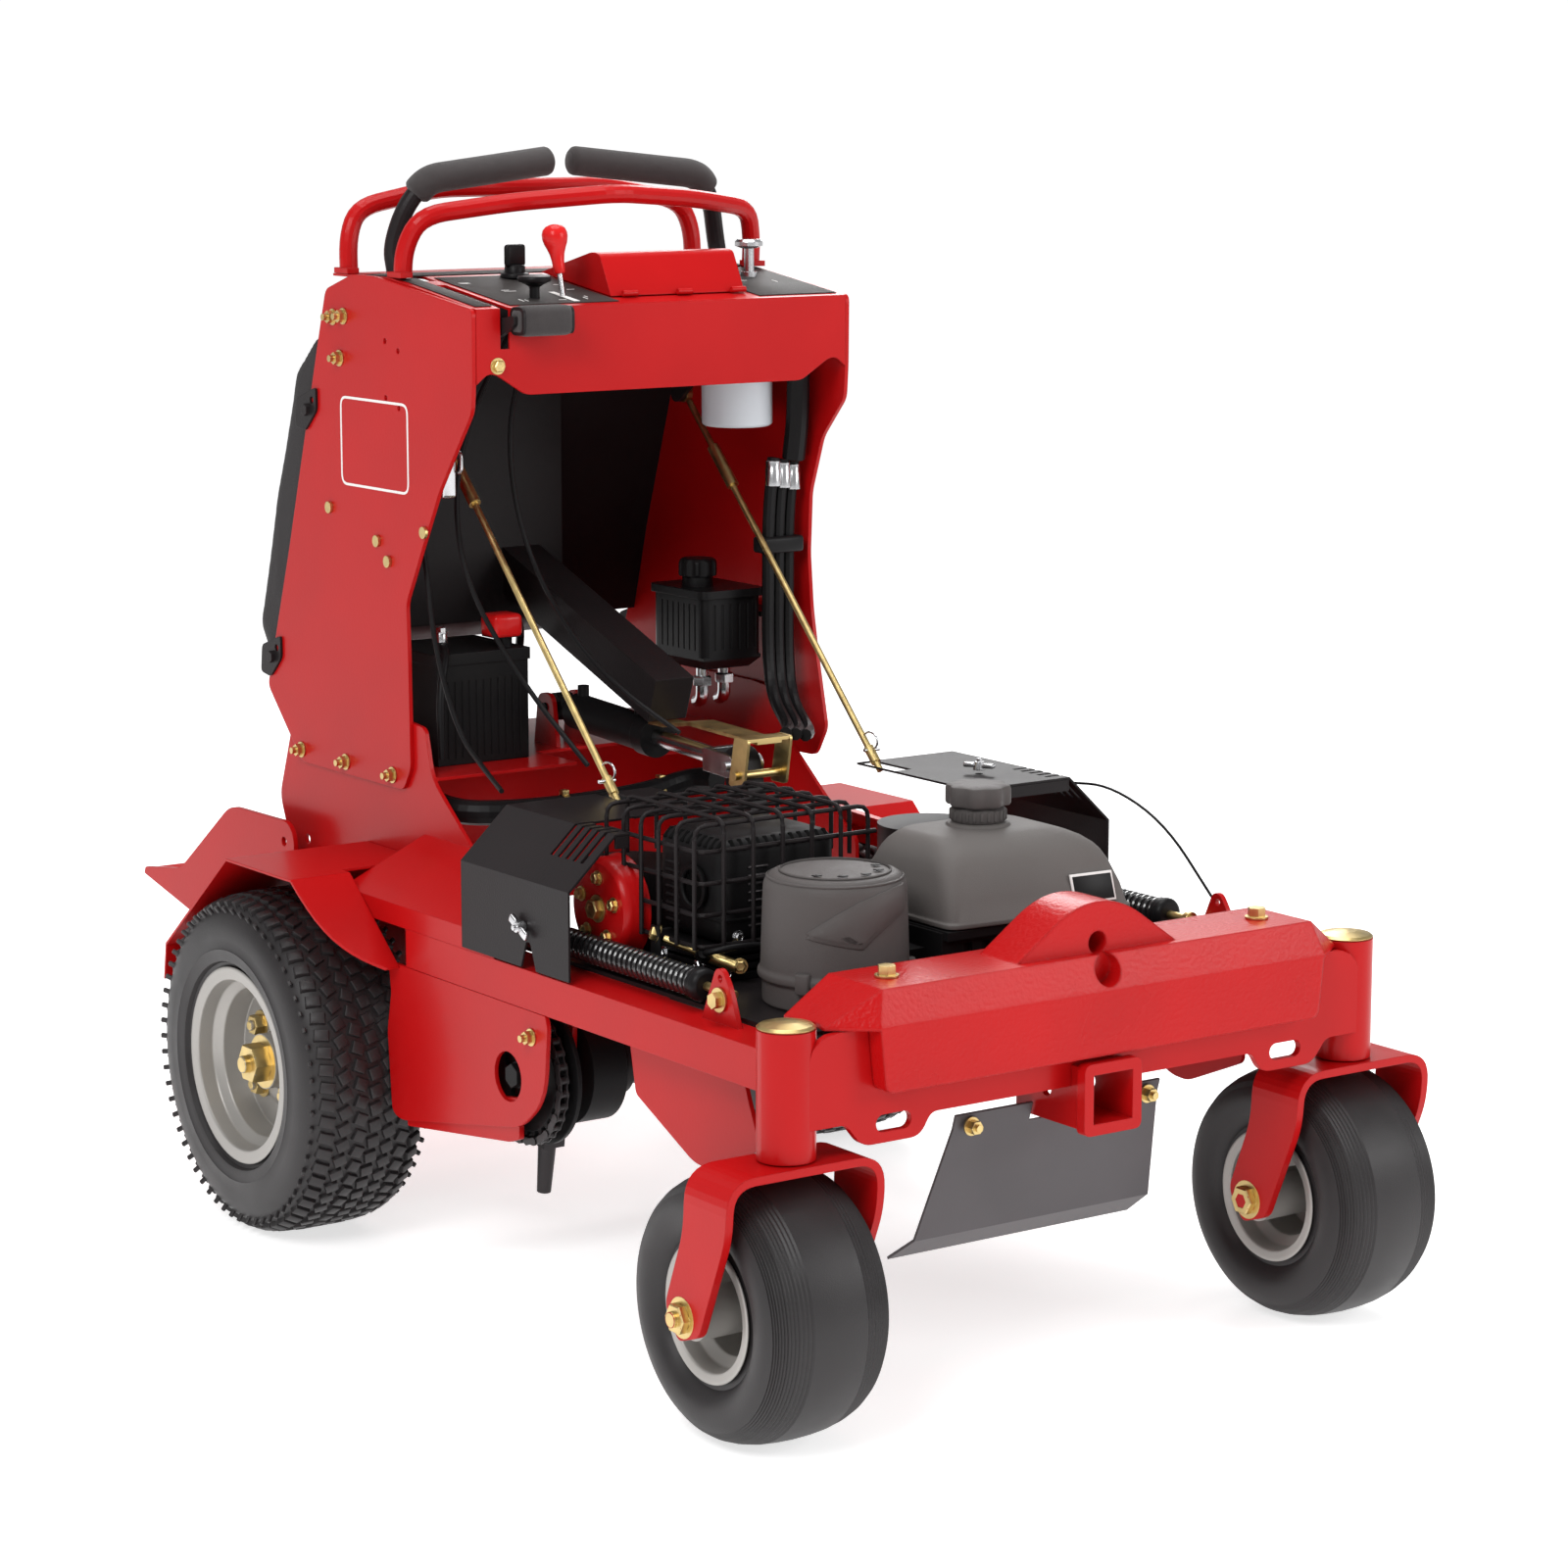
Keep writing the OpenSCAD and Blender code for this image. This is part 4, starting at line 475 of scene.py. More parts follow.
def makeCasterTyre():
    half = casterTyre["outline"]
    ribbed = []
    for (r0, x0), (r1, x1) in zip(half, half[1:]):
        ribbed.append((r0, x0))
        if 0.118 < r0 < 0.1385:  # fine ribs run round the shoulder and tread
            for i in range(1, casterTyre["ribs"] + 1):
                t = i / (casterTyre["ribs"] + 1)
                drop = casterTyre["ribDepth"] if i % 2 else 0
                ribbed.append((r0 + (r1 - r0) * t - drop, x0 + (x1 - x0) * t - drop * 0.3))
    ribbed.append(half[-1])
    profile = ribbed + [(r, -x) for r, x in reversed(ribbed[:-1])]
    inside = [(0.065, -0.052), (0.080, -0.052), (0.104, -0.065), (0.126, -0.040), (0.131, 0.0), (0.126, 0.040),
              (0.104, 0.065), (0.080, 0.052), (0.065, 0.052), half[0]]
    return turning(profile + inside, (0, 0, 0), "X", 96)


for name, side in sides:
    tyre = makeCasterTyre()
    tyre.location = wheelPlace("caster_tyre_" + name)
    done(tyre, "smoothTyre_" + name, "caster_wheel_" + name, rubber, ("caster_tyre_" + name,), 28)
print("caster tyres")

# Foam grips and pad
grip = {"radius": 0.0175, "path": [(-207, -10, 1213), (-190, -16, 1233), (-12, -1, 1252)]}


def roundedTube(points, radius, sides, rounding):  # a tube whose ends are drawn in like foam
    points = [Vector(p) for p in points]
    first, last = (points[1] - points[0]).normalized(), (points[-1] - points[-2]).normalized()
    steps = [0.0, 0.12, 0.35, 0.68, 1.0]
    start = [points[0] + first * rounding * s for s in steps]
    end = [points[-1] - last * rounding * s for s in reversed(steps)]
    shape = start + points[1:-1] + end
    made = drawLine(shape)
    only(made)
    bpy.ops.object.convert(target="CURVE")
    curve = bpy.context.object
    curve.data.dimensions = "3D"
    curve.data.bevel_depth, curve.data.bevel_resolution, curve.data.use_fill_caps = radius, sides, True
    swell = [math.sqrt(max(0.0, 1 - (1 - s) ** 2)) for s in steps]
    swell[0] = 0.35
    count = len(shape)
    for i, s in enumerate(swell):
        curve.data.splines[0].points[i].radius = s
        curve.data.splines[0].points[count - 1 - i].radius = s
    bpy.ops.object.convert(target="MESH")
    return bpy.context.object


for name, side in sides:
    path = roundPath([fromAxle(-side * x, y, z) for x, y, z in grip["path"]], 0.02, 8)
    foam = roundedTube(path, grip["radius"], 10, 0.009)
    done(foam, "foamGrip_" + name, "lever_" + name, foamBlack, ("lever_grip_" + name,), 50)

pad = {"half": 0.2505, "outline": [(139, 1036), (148, 1004), (220, 788), (263, 655), (299, 631), (329, 673),
                                   (277, 846),
                                 (218, 996), (162, 1048)], "pressure": 4.0, "most": 0.005}
padShape = plate([fromAxle(-1000 * pad["half"], y, z) for y, z in pad["outline"]], (2 * pad["half"], 0, 0), 0.009)
addBevel(padShape, 0.009, 3)
applyAll(padShape)
mesher = padShape.modifiers.new("even", "REMESH")
mesher.mode, mesher.voxel_size = "VOXEL", 0.006
applyAll(padShape)
resting = [v.co.copy() for v in padShape.data.vertices]
swell = padShape.modifiers.new("swell", "CLOTH")
swell.settings.use_pressure, swell.settings.uniform_pressure_force = True, pad["pressure"]
swell.settings.tension_stiffness = swell.settings.compression_stiffness = 25
swell.settings.effector_weights.gravity = 0
for step in range(1, 21):
    bpy.context.scene.frame_set(step)
applyAll(padShape)
bpy.context.scene.frame_set(1)
for v, rest in zip(padShape.data.vertices, resting):
    move = v.co - rest
    if move.length > pad["most"]:
        v.co = rest + move.normalized() * pad["most"]
smoother = padShape.modifiers.new("finer", "SMOOTH")
smoother.factor, smoother.iterations = 0.5, 6
applyAll(padShape)
done(padShape, "thighPadCover", "root", vinyl, ("thigh_pad",), 60)
print("grips and pad")


def aim(obj, place, direction):  # turns what was made along Z towards a direction, then puts it at its place
    obj.rotation_mode = "QUATERNION"
    obj.rotation_quaternion = Vector(direction).normalized().to_track_quat("Z", "Y")
    obj.location = place
    only(obj)
    bpy.ops.object.transform_apply(location=True, rotation=True, scale=True)
    return obj


def hexHead(acrossFlats, height, place, direction):  # bolt head with its washer face
    r = acrossFlats / math.sqrt(3)
    head = turning([(0.0001, 0), (r, 0), (r, height * 0.82), (r - 0.0012, height), (r * 0.55, height),
                    (r * 0.5, height - 0.0005), (0.0001, height - 0.0005)], (0, 0, 0), "Z", 6)
    inner, outer = r * 0.9, r * 1.32
    collar = turning([(inner, -0.0016), (outer, -0.0016), (outer, 0.0002), (inner, 0.0002), (inner, -0.0016)],
                     (0, 0, 0), "Z", 28)
    return aim(joined([head, collar]), place, direction)


def threadEnd(radius, height, chamfer, place, direction, steps):  # what stands out past a nut
    end = turning([(0.0001, 0), (radius, 0), (radius, height - chamfer[1]), (radius - chamfer[0], height),
                   (0.0001, height)],
                  (0, 0, 0), "Z", steps)
    return aim(end, place, direction)


# Gold bolts of the wheels and casters
wheelBolts = {"circle": 0.051, "lug": 0.0222, "nut": 0.0420, "caster": 0.0280}
for name, side in sides:
    centre = wheelPlace("drive_tyre_" + name)
    parts = []
    for i in range(4):
        a = math.radians(45 + 90 * i)
        place = centre + Vector((side * 0.0226, wheelBolts["circle"] * math.cos(a),
                                 wheelBolts["circle"] * math.sin(a)))
        parts.append(hexHead(wheelBolts["lug"], 0.0122, place, (side, 0, 0)))
        parts.append(threadEnd(0.0056, 0.0042, (0.0006, 0.0007), place + Vector((side * 0.0118, 0, 0)),
                               (side, 0, 0), 20))
    parts.append(hexHead(wheelBolts["nut"], 0.0205, centre + Vector((side * 0.0402, 0, 0)), (side, 0, 0)))
    parts.append(threadEnd(0.0103, 0.0085, (0.0013, 0.0015), centre + Vector((side * 0.0602, 0, 0)), (side, 0, 0),
                           24))
    done(joined(parts), "wheelBolts_" + name, "drive_wheel_" + name, gold, smooth=30)
    low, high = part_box("caster_fork_" + name)
    axle = wheelPlace("caster_tyre_" + name)
    outer, inner = (low.x, high.x) if side < 0 else (high.x, low.x)
    parts = [hexHead(wheelBolts["caster"], 0.0094, (outer - side * 0.0138, axle.y, axle.z), (side, 0, 0)),
             threadEnd(0.0083, 0.0048, (0.0011, 0.0012), (outer - side * 0.0046, axle.y, axle.z), (side, 0, 0), 24),
             hexHead(wheelBolts["caster"], 0.0094, (inner + side * 0.0091, axle.y, axle.z), (-side, 0, 0))]
    done(joined(parts), "casterBolts_" + name, "caster_" + name, gold, smooth=30)
print("wheel bolts")

# Assist springs: wound wire over a rod, with an end cup
spring = {"x": 314, "z": 424, "from": 240, "to": 493, "turns": 26, "wire": 0.0035, "radius": 0.0125,
          "core": 0.0080}
for name, side in sides:
    place = fromFront(side * spring["x"], spring["from"], spring["z"])
    length = (spring["to"] - spring["from"]) / 1000
    only()
    bpy.ops.mesh.primitive_circle_add(vertices=10, radius=spring["wire"], location=(spring["radius"], 0, 0))
    coil = bpy.context.object
    bpy.ops.object.transform_apply(location=True, rotation=True, scale=True)
    wound = coil.modifiers.new("wound", "SCREW")
    wound.axis, wound.steps, wound.render_steps = "Y", 18, 18
    wound.iterations, wound.screw_offset = spring["turns"], length / spring["turns"]
    applyAll(coil)
    edit()
    bpy.ops.mesh.select_all(action="DESELECT")
    bpy.ops.mesh.select_non_manifold()
    bpy.ops.mesh.edge_face_add()
    back()
    coil.location = place
    core = rod(spring["core"], 0, length, place, "Y", 28)
    done(joined([coil, core]), "springCoil_" + name, "root", springBlack, ("springs",), 35)
    cup = turning([(0.0001, 0), (0.0135, 0), (0.0165, 0.002), (0.0180, 0.005), (0.0180, 0.0105), (0.0168, 0.0125),
                   (0.0172, 0.0150), (0.0172, 0.0175), (0.0001, 0.0175)],
                  fromFront(side * spring["x"], 224.5, spring["z"]),
                  "Y", 40)
    done(cup, "springCup_" + name, "root", blackPlastic, smooth=30)
    end = turning([(0.0001, 0), (0.0042, 0), (0.0050, 0.0012), (0.0050, 0.014), (0.0088, 0.014), (0.0092, 0.0146),
                   (0.0092, 0.0215), (0.0086, 0.0222), (0.0050, 0.0222), (0.0050, 0.052), (0.0001, 0.052)],
                  fromFront(side * spring["x"], 173, spring["z"]), "Y", 24)
    tail = rod(0.0050, 0, 0.011, fromFront(side * spring["x"], 491.5, spring["z"]), "Y")
    done(joined([end, tail]), "springRod_" + name, "root", gold, smooth=30)
print("springs")

# Roller chain: one outer and one inner link, set along the run
chain = {"x": -344, "links": 54, "big": ((-465, 272), 75.0), "small": ((-256, 222), 41.0),
         "end": 0.0048, "waist": 0.0035}


def chainRun(distance=None):
    (ay, az), ra = chain["big"]
    (by, bz), rb = chain["small"]
    gap = Vector((by - ay, bz - az))
    lean = math.atan2(gap.y, gap.x)
    spread = math.acos((ra - rb) / gap.length)
    straight = math.sqrt(gap.length ** 2 - (ra - rb) ** 2)
    arcBig, arcSmall = ra * (2 * math.pi - 2 * spread), rb * 2 * spread
    total = arcBig + arcSmall + 2 * straight
    if distance is None:
        return total
    s = distance % total
    if s < arcBig:
        a = lean + spread + s / ra
        return Vector((ay + ra * math.cos(a), az + ra * math.sin(a)))
    s -= arcBig
    start = Vector((ay, az)) + ra * Vector((math.cos(lean - spread), math.sin(lean - spread)))
    end = Vector((by, bz)) + rb * Vector((math.cos(lean - spread), math.sin(lean - spread)))
    if s < straight:
        return start.lerp(end, s / straight)
    s -= straight
    if s < arcSmall:
        a = lean - spread + s / rb
        return Vector((by + rb * math.cos(a), bz + rb * math.sin(a)))
    s -= arcSmall
    start = Vector((by, bz)) + rb * Vector((math.cos(lean + spread), math.sin(lean + spread)))
    end = Vector((ay, az)) + ra * Vector((math.cos(lean + spread), math.sin(lean + spread)))
    return start.lerp(end, s / straight)


def makeLink(plateX, pitch):  # two waisted side plates and a roller at each end
    parts = []
    for side in (-1, 1):
        outline = []
        for end, start in ((-1, 90), (1, -90)):
            for a in (math.radians(start + 22.5 * i) for i in range(9)):
                outline.append((side * plateX, end * pitch / 2 + chain["end"] * math.cos(a),
                                chain["end"] * math.sin(a)))
            outline.append((side * plateX, 0, end * chain["waist"]))
        parts.append(plate(outline, (side * 0.0011, 0, 0)))
    for end in (-1, 1):
        parts.append(rod(0.0040, -plateX, plateX, (0, end * pitch / 2, 0), "X", 10))
    return joined(parts)


runLength = chainRun()
pitch = runLength / chain["links"]
linkKinds = [makeLink(0.0032, pitch / 1000), makeLink(0.0046, pitch / 1000)]
links = []
for i in range(chain["links"]):
    here, there = chainRun((i - 0.5) * pitch), chainRun((i + 0.5) * pitch)
    link = copied(linkKinds[i % 2])
    along = there - here
    link.rotation_euler = (math.atan2(along.y, along.x), 0, 0)
    middle = (here + there) / 2
    link.location = fromAxle(chain["x"], middle.x, middle.y)
    links.append(link)
    only(link)
    bpy.ops.object.transform_apply(location=True, rotation=True, scale=True)
done(joined(links), "rollerChain", "head", darkSteel, ("drive_chain",), 35, 0)
for kind in linkKinds:
    bpy.data.objects.remove(kind)
print("chain", round(pitch, 2))

# Console: dark plates, throttle, lift block
console = {"thick": 0.0011, "plates": [(-251, -229, -221, -52), (-205, -58, -221, -52), (139, 251, -221, -52),
                                       (-250, 250, -36, 28)],
           "slots": [(-116, -108, -216, -160)]}


def consoleHeight(y):
    return 1094 + (min(y, -39) + 232) * 0.14


parts = []
for x0, x1, y0, y1 in console["plates"]:
    corners = [(x0, y0), (x1, y0), (x1, y1), (x0, y1)]
    parts.append(plate([fromAxle(x, y, consoleHeight(y) + 0.25) for x, y in corners], (0, 0, console["thick"]),
                       0.0004))
done(joined(parts), "consolePlates", "root", plateBlack, smooth=30)
parts = []
for x0, x1, y0, y1 in console["slots"]:
    top = 1.5
    parts.append(plate([fromAxle(x, y, consoleHeight(y) + top) for x, y in ((x0, y0), (x1, y0), (x1, y1), (x0, y1))],
                       (0, 0, 0.0003)))
for x, y, w, d in ((-196, -96, 14, 1.4), (-196, -92, 14, 1.4), (-178, -206, 1.4, 12), (-172, -206, 1.4, 8),
                   (-92, -206, 1.4, 10),
                   (-86, -196, 1.4, 7), (-84, -150, 10, 1.4), (-84, -120, 7, 1.4), (168, -136, 12, 1.4),
                   (168, -130, 8, 1.4),
                   (214, -150, 1.4, 12), (-168, -148, 16, 1.4), (-168, -142, 10, 1.4), (-130, -206, 10, 1.4)):
    parts.append(plate([fromAxle(x + a * w, y + b * d, consoleHeight(y + b * d) + 1.5) for a, b in
                        ((0, 0), (1, 0), (1, 1), (0, 1))], (0, 0, 0.00025)))
done(joined(parts), "consoleMarks", "root", whiteInk, smooth=30)

throttle = {"foot": (-112, -190, 1080), "knob": (-112, -169, 1168),
            "shape": [(0.0001, -0.0420), (0.0052, -0.0420), (0.0066, -0.0395), (0.0068, -0.0340), (0.0074, -0.0260),
                      (0.0086, -0.0190), (0.0108, -0.0125), (0.0134, -0.0065), (0.0150, 0.0), (0.0149, 0.0050),
                      (0.0132, 0.0098), (0.0098, 0.0132), (0.0052, 0.0150), (0.0001, 0.0155)]}
knobPlace, footPlace = Vector(fromAxle(*throttle["knob"])), Vector(fromAxle(*throttle["foot"]))
knob = aim(turning(throttle["shape"], (0, 0, 0), "Z", 40), knobPlace, knobPlace - footPlace)
knob = done(knob, "throttleKnob", "throttle", redPlastic, ("throttle_lever",), 60)
stalk = tube([footPlace, knobPlace - (knobPlace - footPlace).normalized() * 0.036], 0.0031, 3)
hub = rod(0.0085, -0.004, 0.004, footPlace, "X")
done(joined([stalk, hub]), "throttleStalk", "throttle", brightSteel, ("throttle_lever",), 50)

key = {"at": (-106, -70)}
keyZ = consoleHeight(-70) + 1.4
base = turning([(0.0001, 0), (0.0175, 0), (0.0178, 0.0012), (0.0165, 0.0050), (0.0125, 0.0062), (0.0120, 0.0135),
                (0.0105, 0.0150), (0.0001, 0.0150)], fromAxle(*key["at"], keyZ), "Z", 40)
fob = brick(fromAxle(*key["at"], keyZ + 26), (0.0335, 0.0085, 0.0265), 0.0080, (0, 0, math.radians(18)), 4)
done(joined([base, fob]), "ignitionKeyHead", "key", blackPlastic, ("ignition_key",), 45)
done(hexHead(0.0125, 0.006, Vector(fromAxle(-229, -232.4, 1029)), (0, -1, 0)), "frontPanelBolt", "root", gold,
     smooth=30)
regulator = joined([brick(fromAxle(-237, -112, 915), (0.020, 0.046, 0.088), 0.004, segments=3),
                    brick(fromAxle(-226, -112, 935), (0.006, 0.024, 0.018), 0.002),
                    tube(roundPath([fromAxle(-224, -126, 925), fromAxle(-224, -140, 925), fromAxle(-224, -140, 900),
                                    fromAxle(-224, -126, 900)], 0.008, 5), 0.0020, 2)])
done(regulator, "regulator", "root", brightSteel, smooth=35)

liftBlock = {"middle": (-181, -251.5, 1080), "size": (0.0705, 0.0315, 0.0345)}
foam = brick(fromAxle(*liftBlock["middle"]), liftBlock["size"], 0.0095, segments=4)
applyAll(foam)
foam = done(foam, "liftLeverFoam", "head_control", foamBlack, smooth=60)
print("console")

# Battery: red terminal boot, leads, hold-down
battery = {"boot": (-112, -40, 704)}
boot = brick(fromAxle(*battery["boot"]), (0.040, 0.037, 0.029), 0.0065, segments=3)
spout = aim(turning([(0.0001, 0), (0.0105, 0), (0.0090, 0.012), (0.0072, 0.026), (0.0060, 0.027), (0.0001, 0.027)],
                    (0, 0, 0), "Z", 24), Vector(fromAxle(-98, -30, 704)), (0.75, 0.6, -0.08))
done(joined([boot, spout]), "terminalBoot", "root", redPlastic, smooth=40)
lead = tube(roundPath([fromAxle(-90, -24, 703), fromAxle(-62, -2, 700), fromAxle(-44, 30, 660),
                       fromAxle(-40, 60, 600),
                       fromAxle(-40, 70, 556)], 0.035, 6), 0.0052, 3, 0.7)
lead2 = tube(roundPath([fromAxle(-196, -40, 686), fromAxle(-206, -70, 684), fromAxle(-226, -88, 640),
                        fromAxle(-230, -96, 560)],
                       0.03, 6), 0.0050, 3, 0.7)
done(joined([lead, lead2]), "batteryLeads", "root", cableJacket, smooth=60)
clamp = turning([(0.0001, 0), (0.0072, 0), (0.0072, 0.009), (0.0060, 0.011), (0.0001, 0.011)],
                fromAxle(-196, -40, 690), "Z", 20)
done(joined([clamp, hexHead(0.011, 0.006, Vector(fromAxle(-196, -40, 702)), (0, 0, 1))]), "batteryTerminal", "root",
     brightSteel, smooth=35)

# Hydraulic fittings under the tank and at the hoses
fittings = []
for x, y in ((148, -84), (186, -76)):
    fittings.append(rod(0.0075, 0, 0.012, fromAxle(x, y, 625)))
    fittings.append(aim(turning([(0.0001, 0), (0.0125, 0), (0.0125, 0.010), (0.0112, 0.0115), (0.0001, 0.0115)],
                                (0, 0, 0),
                                "Z", 6), Vector(fromAxle(x, y, 614)), (0, 0, 1)))
    fittings.append(tube(roundPath([fromAxle(x, y, 620), fromAxle(x, y, 596), fromAxle(x + 10, y + 26, 590)], 0.014,
                                   6),
                         0.0078, 3))
done(joined(fittings), "tankElbows", "root", brightSteel, smooth=35)
ferrules = []
for i in range(3):
    ferrules.append(turning([(0.0079, 0), (0.0096, 0), (0.0096, 0.020), (0.0090, 0.021), (0.0090, 0.030),
                             (0.0076, 0.031),
                             (0.0076, 0.001), (0.0079, 0)], fromAxle(237.6 - i * 16, -149.6 - i * 2, 856 + i * 3),
                            "Z", 28))
done(joined(ferrules), "hoseFerrules", "root", brightSteel, smooth=35)
clampBlock = joined([brick(fromAxle(216, -150, 790), (0.060, 0.026, 0.020), 0.004, segments=3),
                     brick(fromAxle(216, -138, 790), (0.024, 0.010, 0.014), 0.003, segments=2)])
done(clampBlock, "hoseClamp", "root", blackPlastic, smooth=35)
hoseClips = []
for x, y, z, d in ((-110, -168.2, 500, (1, -0.1, 0)), (22, -174.4, 505.5, (1, -0.35, 0.2))):
    band = aim(turning([(0.0152, 0), (0.0165, 0), (0.0165, 0.008), (0.0152, 0.008), (0.0152, 0)], (0, 0, 0), "Z", 36),
               Vector(fromAxle(x, y, z)), d)
    hoseClips += [band, brick(fromAxle(x + 4, y, z + 18.5), (0.009, 0.010, 0.006), 0.0012)]
done(joined(hoseClips), "hoseClips", "root", gold, smooth=35)
print("battery and hydraulics")

# Fuel tank with rounded shoulders, its label plate and cap
tank = {"corners": [(-82, 112), (152, 96), (156, 285), (-82, 285)],
        "upper": [(-72, 133), (139, 122), (143, 272), (-72, 272)],
        "top": [(-46, 168), (92, 160), (94, 254), (-46, 254)],
        "levels": [(473, 0.0, -0.5, 16), (474, 0.0, 1.4, 16), (478, 0.0, 1.4, 16), (480, 0.0, -1.0, 18),
                   (500, 0.3, 0, 20),
                   (524, 0.75, 0, 24), (534, 1.0, 0, 28), (541, 1.12, 0, 30), (548, 1.32, 0, 30), (554, 1.6, 0, 28),
                   (558, 1.86, 0, 26), (560, 2.0, -2, 24)]}


def ringAt(t, grow, radius):  # rounded outline between the three drawn ones
    a, b, f = (tank["corners"], tank["upper"], t) if t <= 1 else (tank["upper"], tank["top"], t - 1)
    corners = [Vector(p).lerp(Vector(q), f) for p, q in zip(a, b)]
    centre = sum(corners, Vector((0, 0))) / 4
    return roundLoop([c + (c - centre).normalized() * grow * 1.4 for c in corners], radius)


rings = []
for z, t, grow, radius in tank["levels"]:
    rings.append(drawLine([fromFront(p.x, p.y, z) for p in ringAt(t, grow, radius)]))
    only(rings[-1])
    edit()
    bpy.ops.mesh.edge_face_add()
    bpy.ops.mesh.delete(type="ONLY_FACE")
    back()
shell = joined(rings)
edit()
bpy.ops.mesh.select_all(action="DESELECT")
back()
count = len(ringAt(0, 0, 10))
for k in range(len(rings) - 1):
    for v in shell.data.vertices:
        v.select = k * count <= v.index < (k + 2) * count
    bpy.ops.object.mode_set(mode="EDIT")
    bpy.ops.mesh.bridge_edge_loops()
    bpy.ops.mesh.select_all(action="DESELECT")
    back()
edit()
bpy.ops.mesh.fill_holes(sides=0)
back()
neck = turning([(0.0001, 0), (0.0345, 0), (0.0345, 0.0015), (0.0330, 0.0035), (0.0255, 0.0050), (0.0235, 0.0065),
                (0.0235, 0.0200), (0.0001, 0.0200)], fromFront(30, 212, 559.5), "Z", 48)
done(joined([shell, neck]), "fuelTank", "root", tankPlastic, ("fuel_tank",), 38)


def tankFront(x, z):  # a point just off the tank's front wall
    rise = (z - 480) / 54 * 17
    return fromFront(x, 112 - (x + 82) * 16 / 234 + rise - 1.2, z)


parts = []
for grow, out in ((0, 0), (-2.2, 0.5)):
    corners = [(76 - grow, 485 - grow), (130 + grow, 485 - grow), (130 + grow, 515 + grow), (76 - grow, 515 + grow)]
    parts.append(plate([Vector(tankFront(x, z)) + Vector((0, -out / 1000, 0)) for x, z in corners], (0, 0.002, 0),
                       0.0002))
done(parts[0], "tankPlateEdge", "root", whiteInk, smooth=30)
done(parts[1], "tankPlate", "root", blackPlastic, smooth=30)

cap = {"lobes": 8, "outline": [(0.0001, 0.0), (0.0285, 0.0), (0.0300, 0.002), (0.0300, 0.013), (0.0285, 0.0145),
                               (0.0255, 0.0155), (0.0255, 0.0175)],
       "crown": [(0.0255, 0.0175), (0.0325, 0.0180), (0.0342, 0.0205), (0.0342, 0.0350), (0.0330, 0.0385),
                 (0.0290, 0.0400),
                 (0.0120, 0.0405), (0.0001, 0.0405)]}
capFoot = fromFront(30, 212, 564.4)
body = turning(cap["outline"] + cap["crown"], capFoot, "Z", 96)
for v in body.data.vertices:  # eight lobes round the crown
    flat = Vector((v.co.x - capFoot[0], v.co.y - capFoot[1]))
    if flat.length > 0.026 and v.co.z > capFoot[2] + 0.017:
        wave = 0.0019 * (math.cos(cap["lobes"] * math.atan2(flat.y, flat.x)) - 0.2)
        flat = flat.normalized() * (flat.length + wave)
        v.co.x, v.co.y = capFoot[0] + flat.x, capFoot[1] + flat.y
ribs = []
for i in range(24):
    a = math.radians(15 * i)
    ribs.append(brick((capFoot[0] + 0.0302 * math.cos(a), capFoot[1] + 0.0302 * math.sin(a), capFoot[2] + 0.0075),
                      (0.0022, 0.0030, 0.0105), 0.0006, (0, 0, a), 1))
done(joined([body] + ribs), "tankFillerCap", "fuel_filler", canPlastic, ("fuel_cap",), 40)
print("tank")

# Air cleaner canister: seams, cap rim and the swept rib on its side
canister = {"at": (-190, 170), "radius": 78, "level": 442, "draft": 3 / 90, "sunk": -1.0}


def canisterRadius(z):  # the side leans in above its level
    return canister["radius"] - (z - canister["level"]) * canister["draft"]


def canisterSide(angle, z, out=0.0):
    a, r = math.radians(angle), canisterRadius(z) + out
    return fromFront(canister["at"][0] + r * math.cos(a), canister["at"][1] + r * math.sin(a), z)


parts = []
for z, r in ((541.6, 58.0), (535.5, 71.2)):
    r /= 1000
    parts.append(turning([(r - 0.0014, 0), (r + 0.0008, 0), (r + 0.0010, 0.0016), (r - 0.0008, 0.0026),
                          (r - 0.0014, 0)],
                         fromFront(*canister["at"], z), "Z", 64))
upper = [(-150, 486), (-138, 496), (-124, 508), (-108, 519), (-90, 526), (-72, 530), (-56, 531)]
lower = [(-56, 506), (-70, 502), (-84, 494), (-96, 484), (-104, 474), (-120, 478), (-136, 482)]
face = drawLine([canisterSide(a, z, canister["sunk"]) for a, z in upper + lower], filled=True)
edit()
bpy.ops.mesh.quads_convert_to_tris()
bpy.ops.mesh.subdivide(number_cuts=3)
back()
centre = Vector(fromFront(*canister["at"], 0))
for v in face.data.vertices:  # the flat outline is laid round the canister
    flat = Vector((v.co.x - centre.x, v.co.y - centre.y))
    flat = flat.normalized() * (canisterRadius(v.co.z * 1000) + canister["sunk"]) / 1000
    v.co.x, v.co.y = centre.x + flat.x, centre.y + flat.y
edit()
bpy.ops.mesh.extrude_region_shrink_fatten(TRANSFORM_OT_shrink_fatten={"value": 0.0})
back()
thick = face.modifiers.new("thick", "SOLIDIFY")
thick.thickness, thick.offset = 0.0062, 0
applyAll(face)
addBevel(face, 0.0018, 2, 50)
parts.append(face)
for a in (-150, -30, 90):
    parts.append(brick(canisterSide(a, 436, 2.0), (0.010, 0.016, 0.022), 0.0025, (0, 0, math.radians(a))))
done(joined(parts), "canisterRibs", "root", canPlastic, smooth=40)
parts = []
for i in range(5):
    a = math.radians(-150 + 34 * i)
    parts.append(plate([fromFront(canister["at"][0] + 46 * math.cos(a) + dx,
                                  canister["at"][1] + 46 * math.sin(a) + dy, 543.6)
                        for dx, dy in ((-5, -3), (5, -3), (5, 3), (-5, 3))], (0, 0, 0.0009), 0.0003))
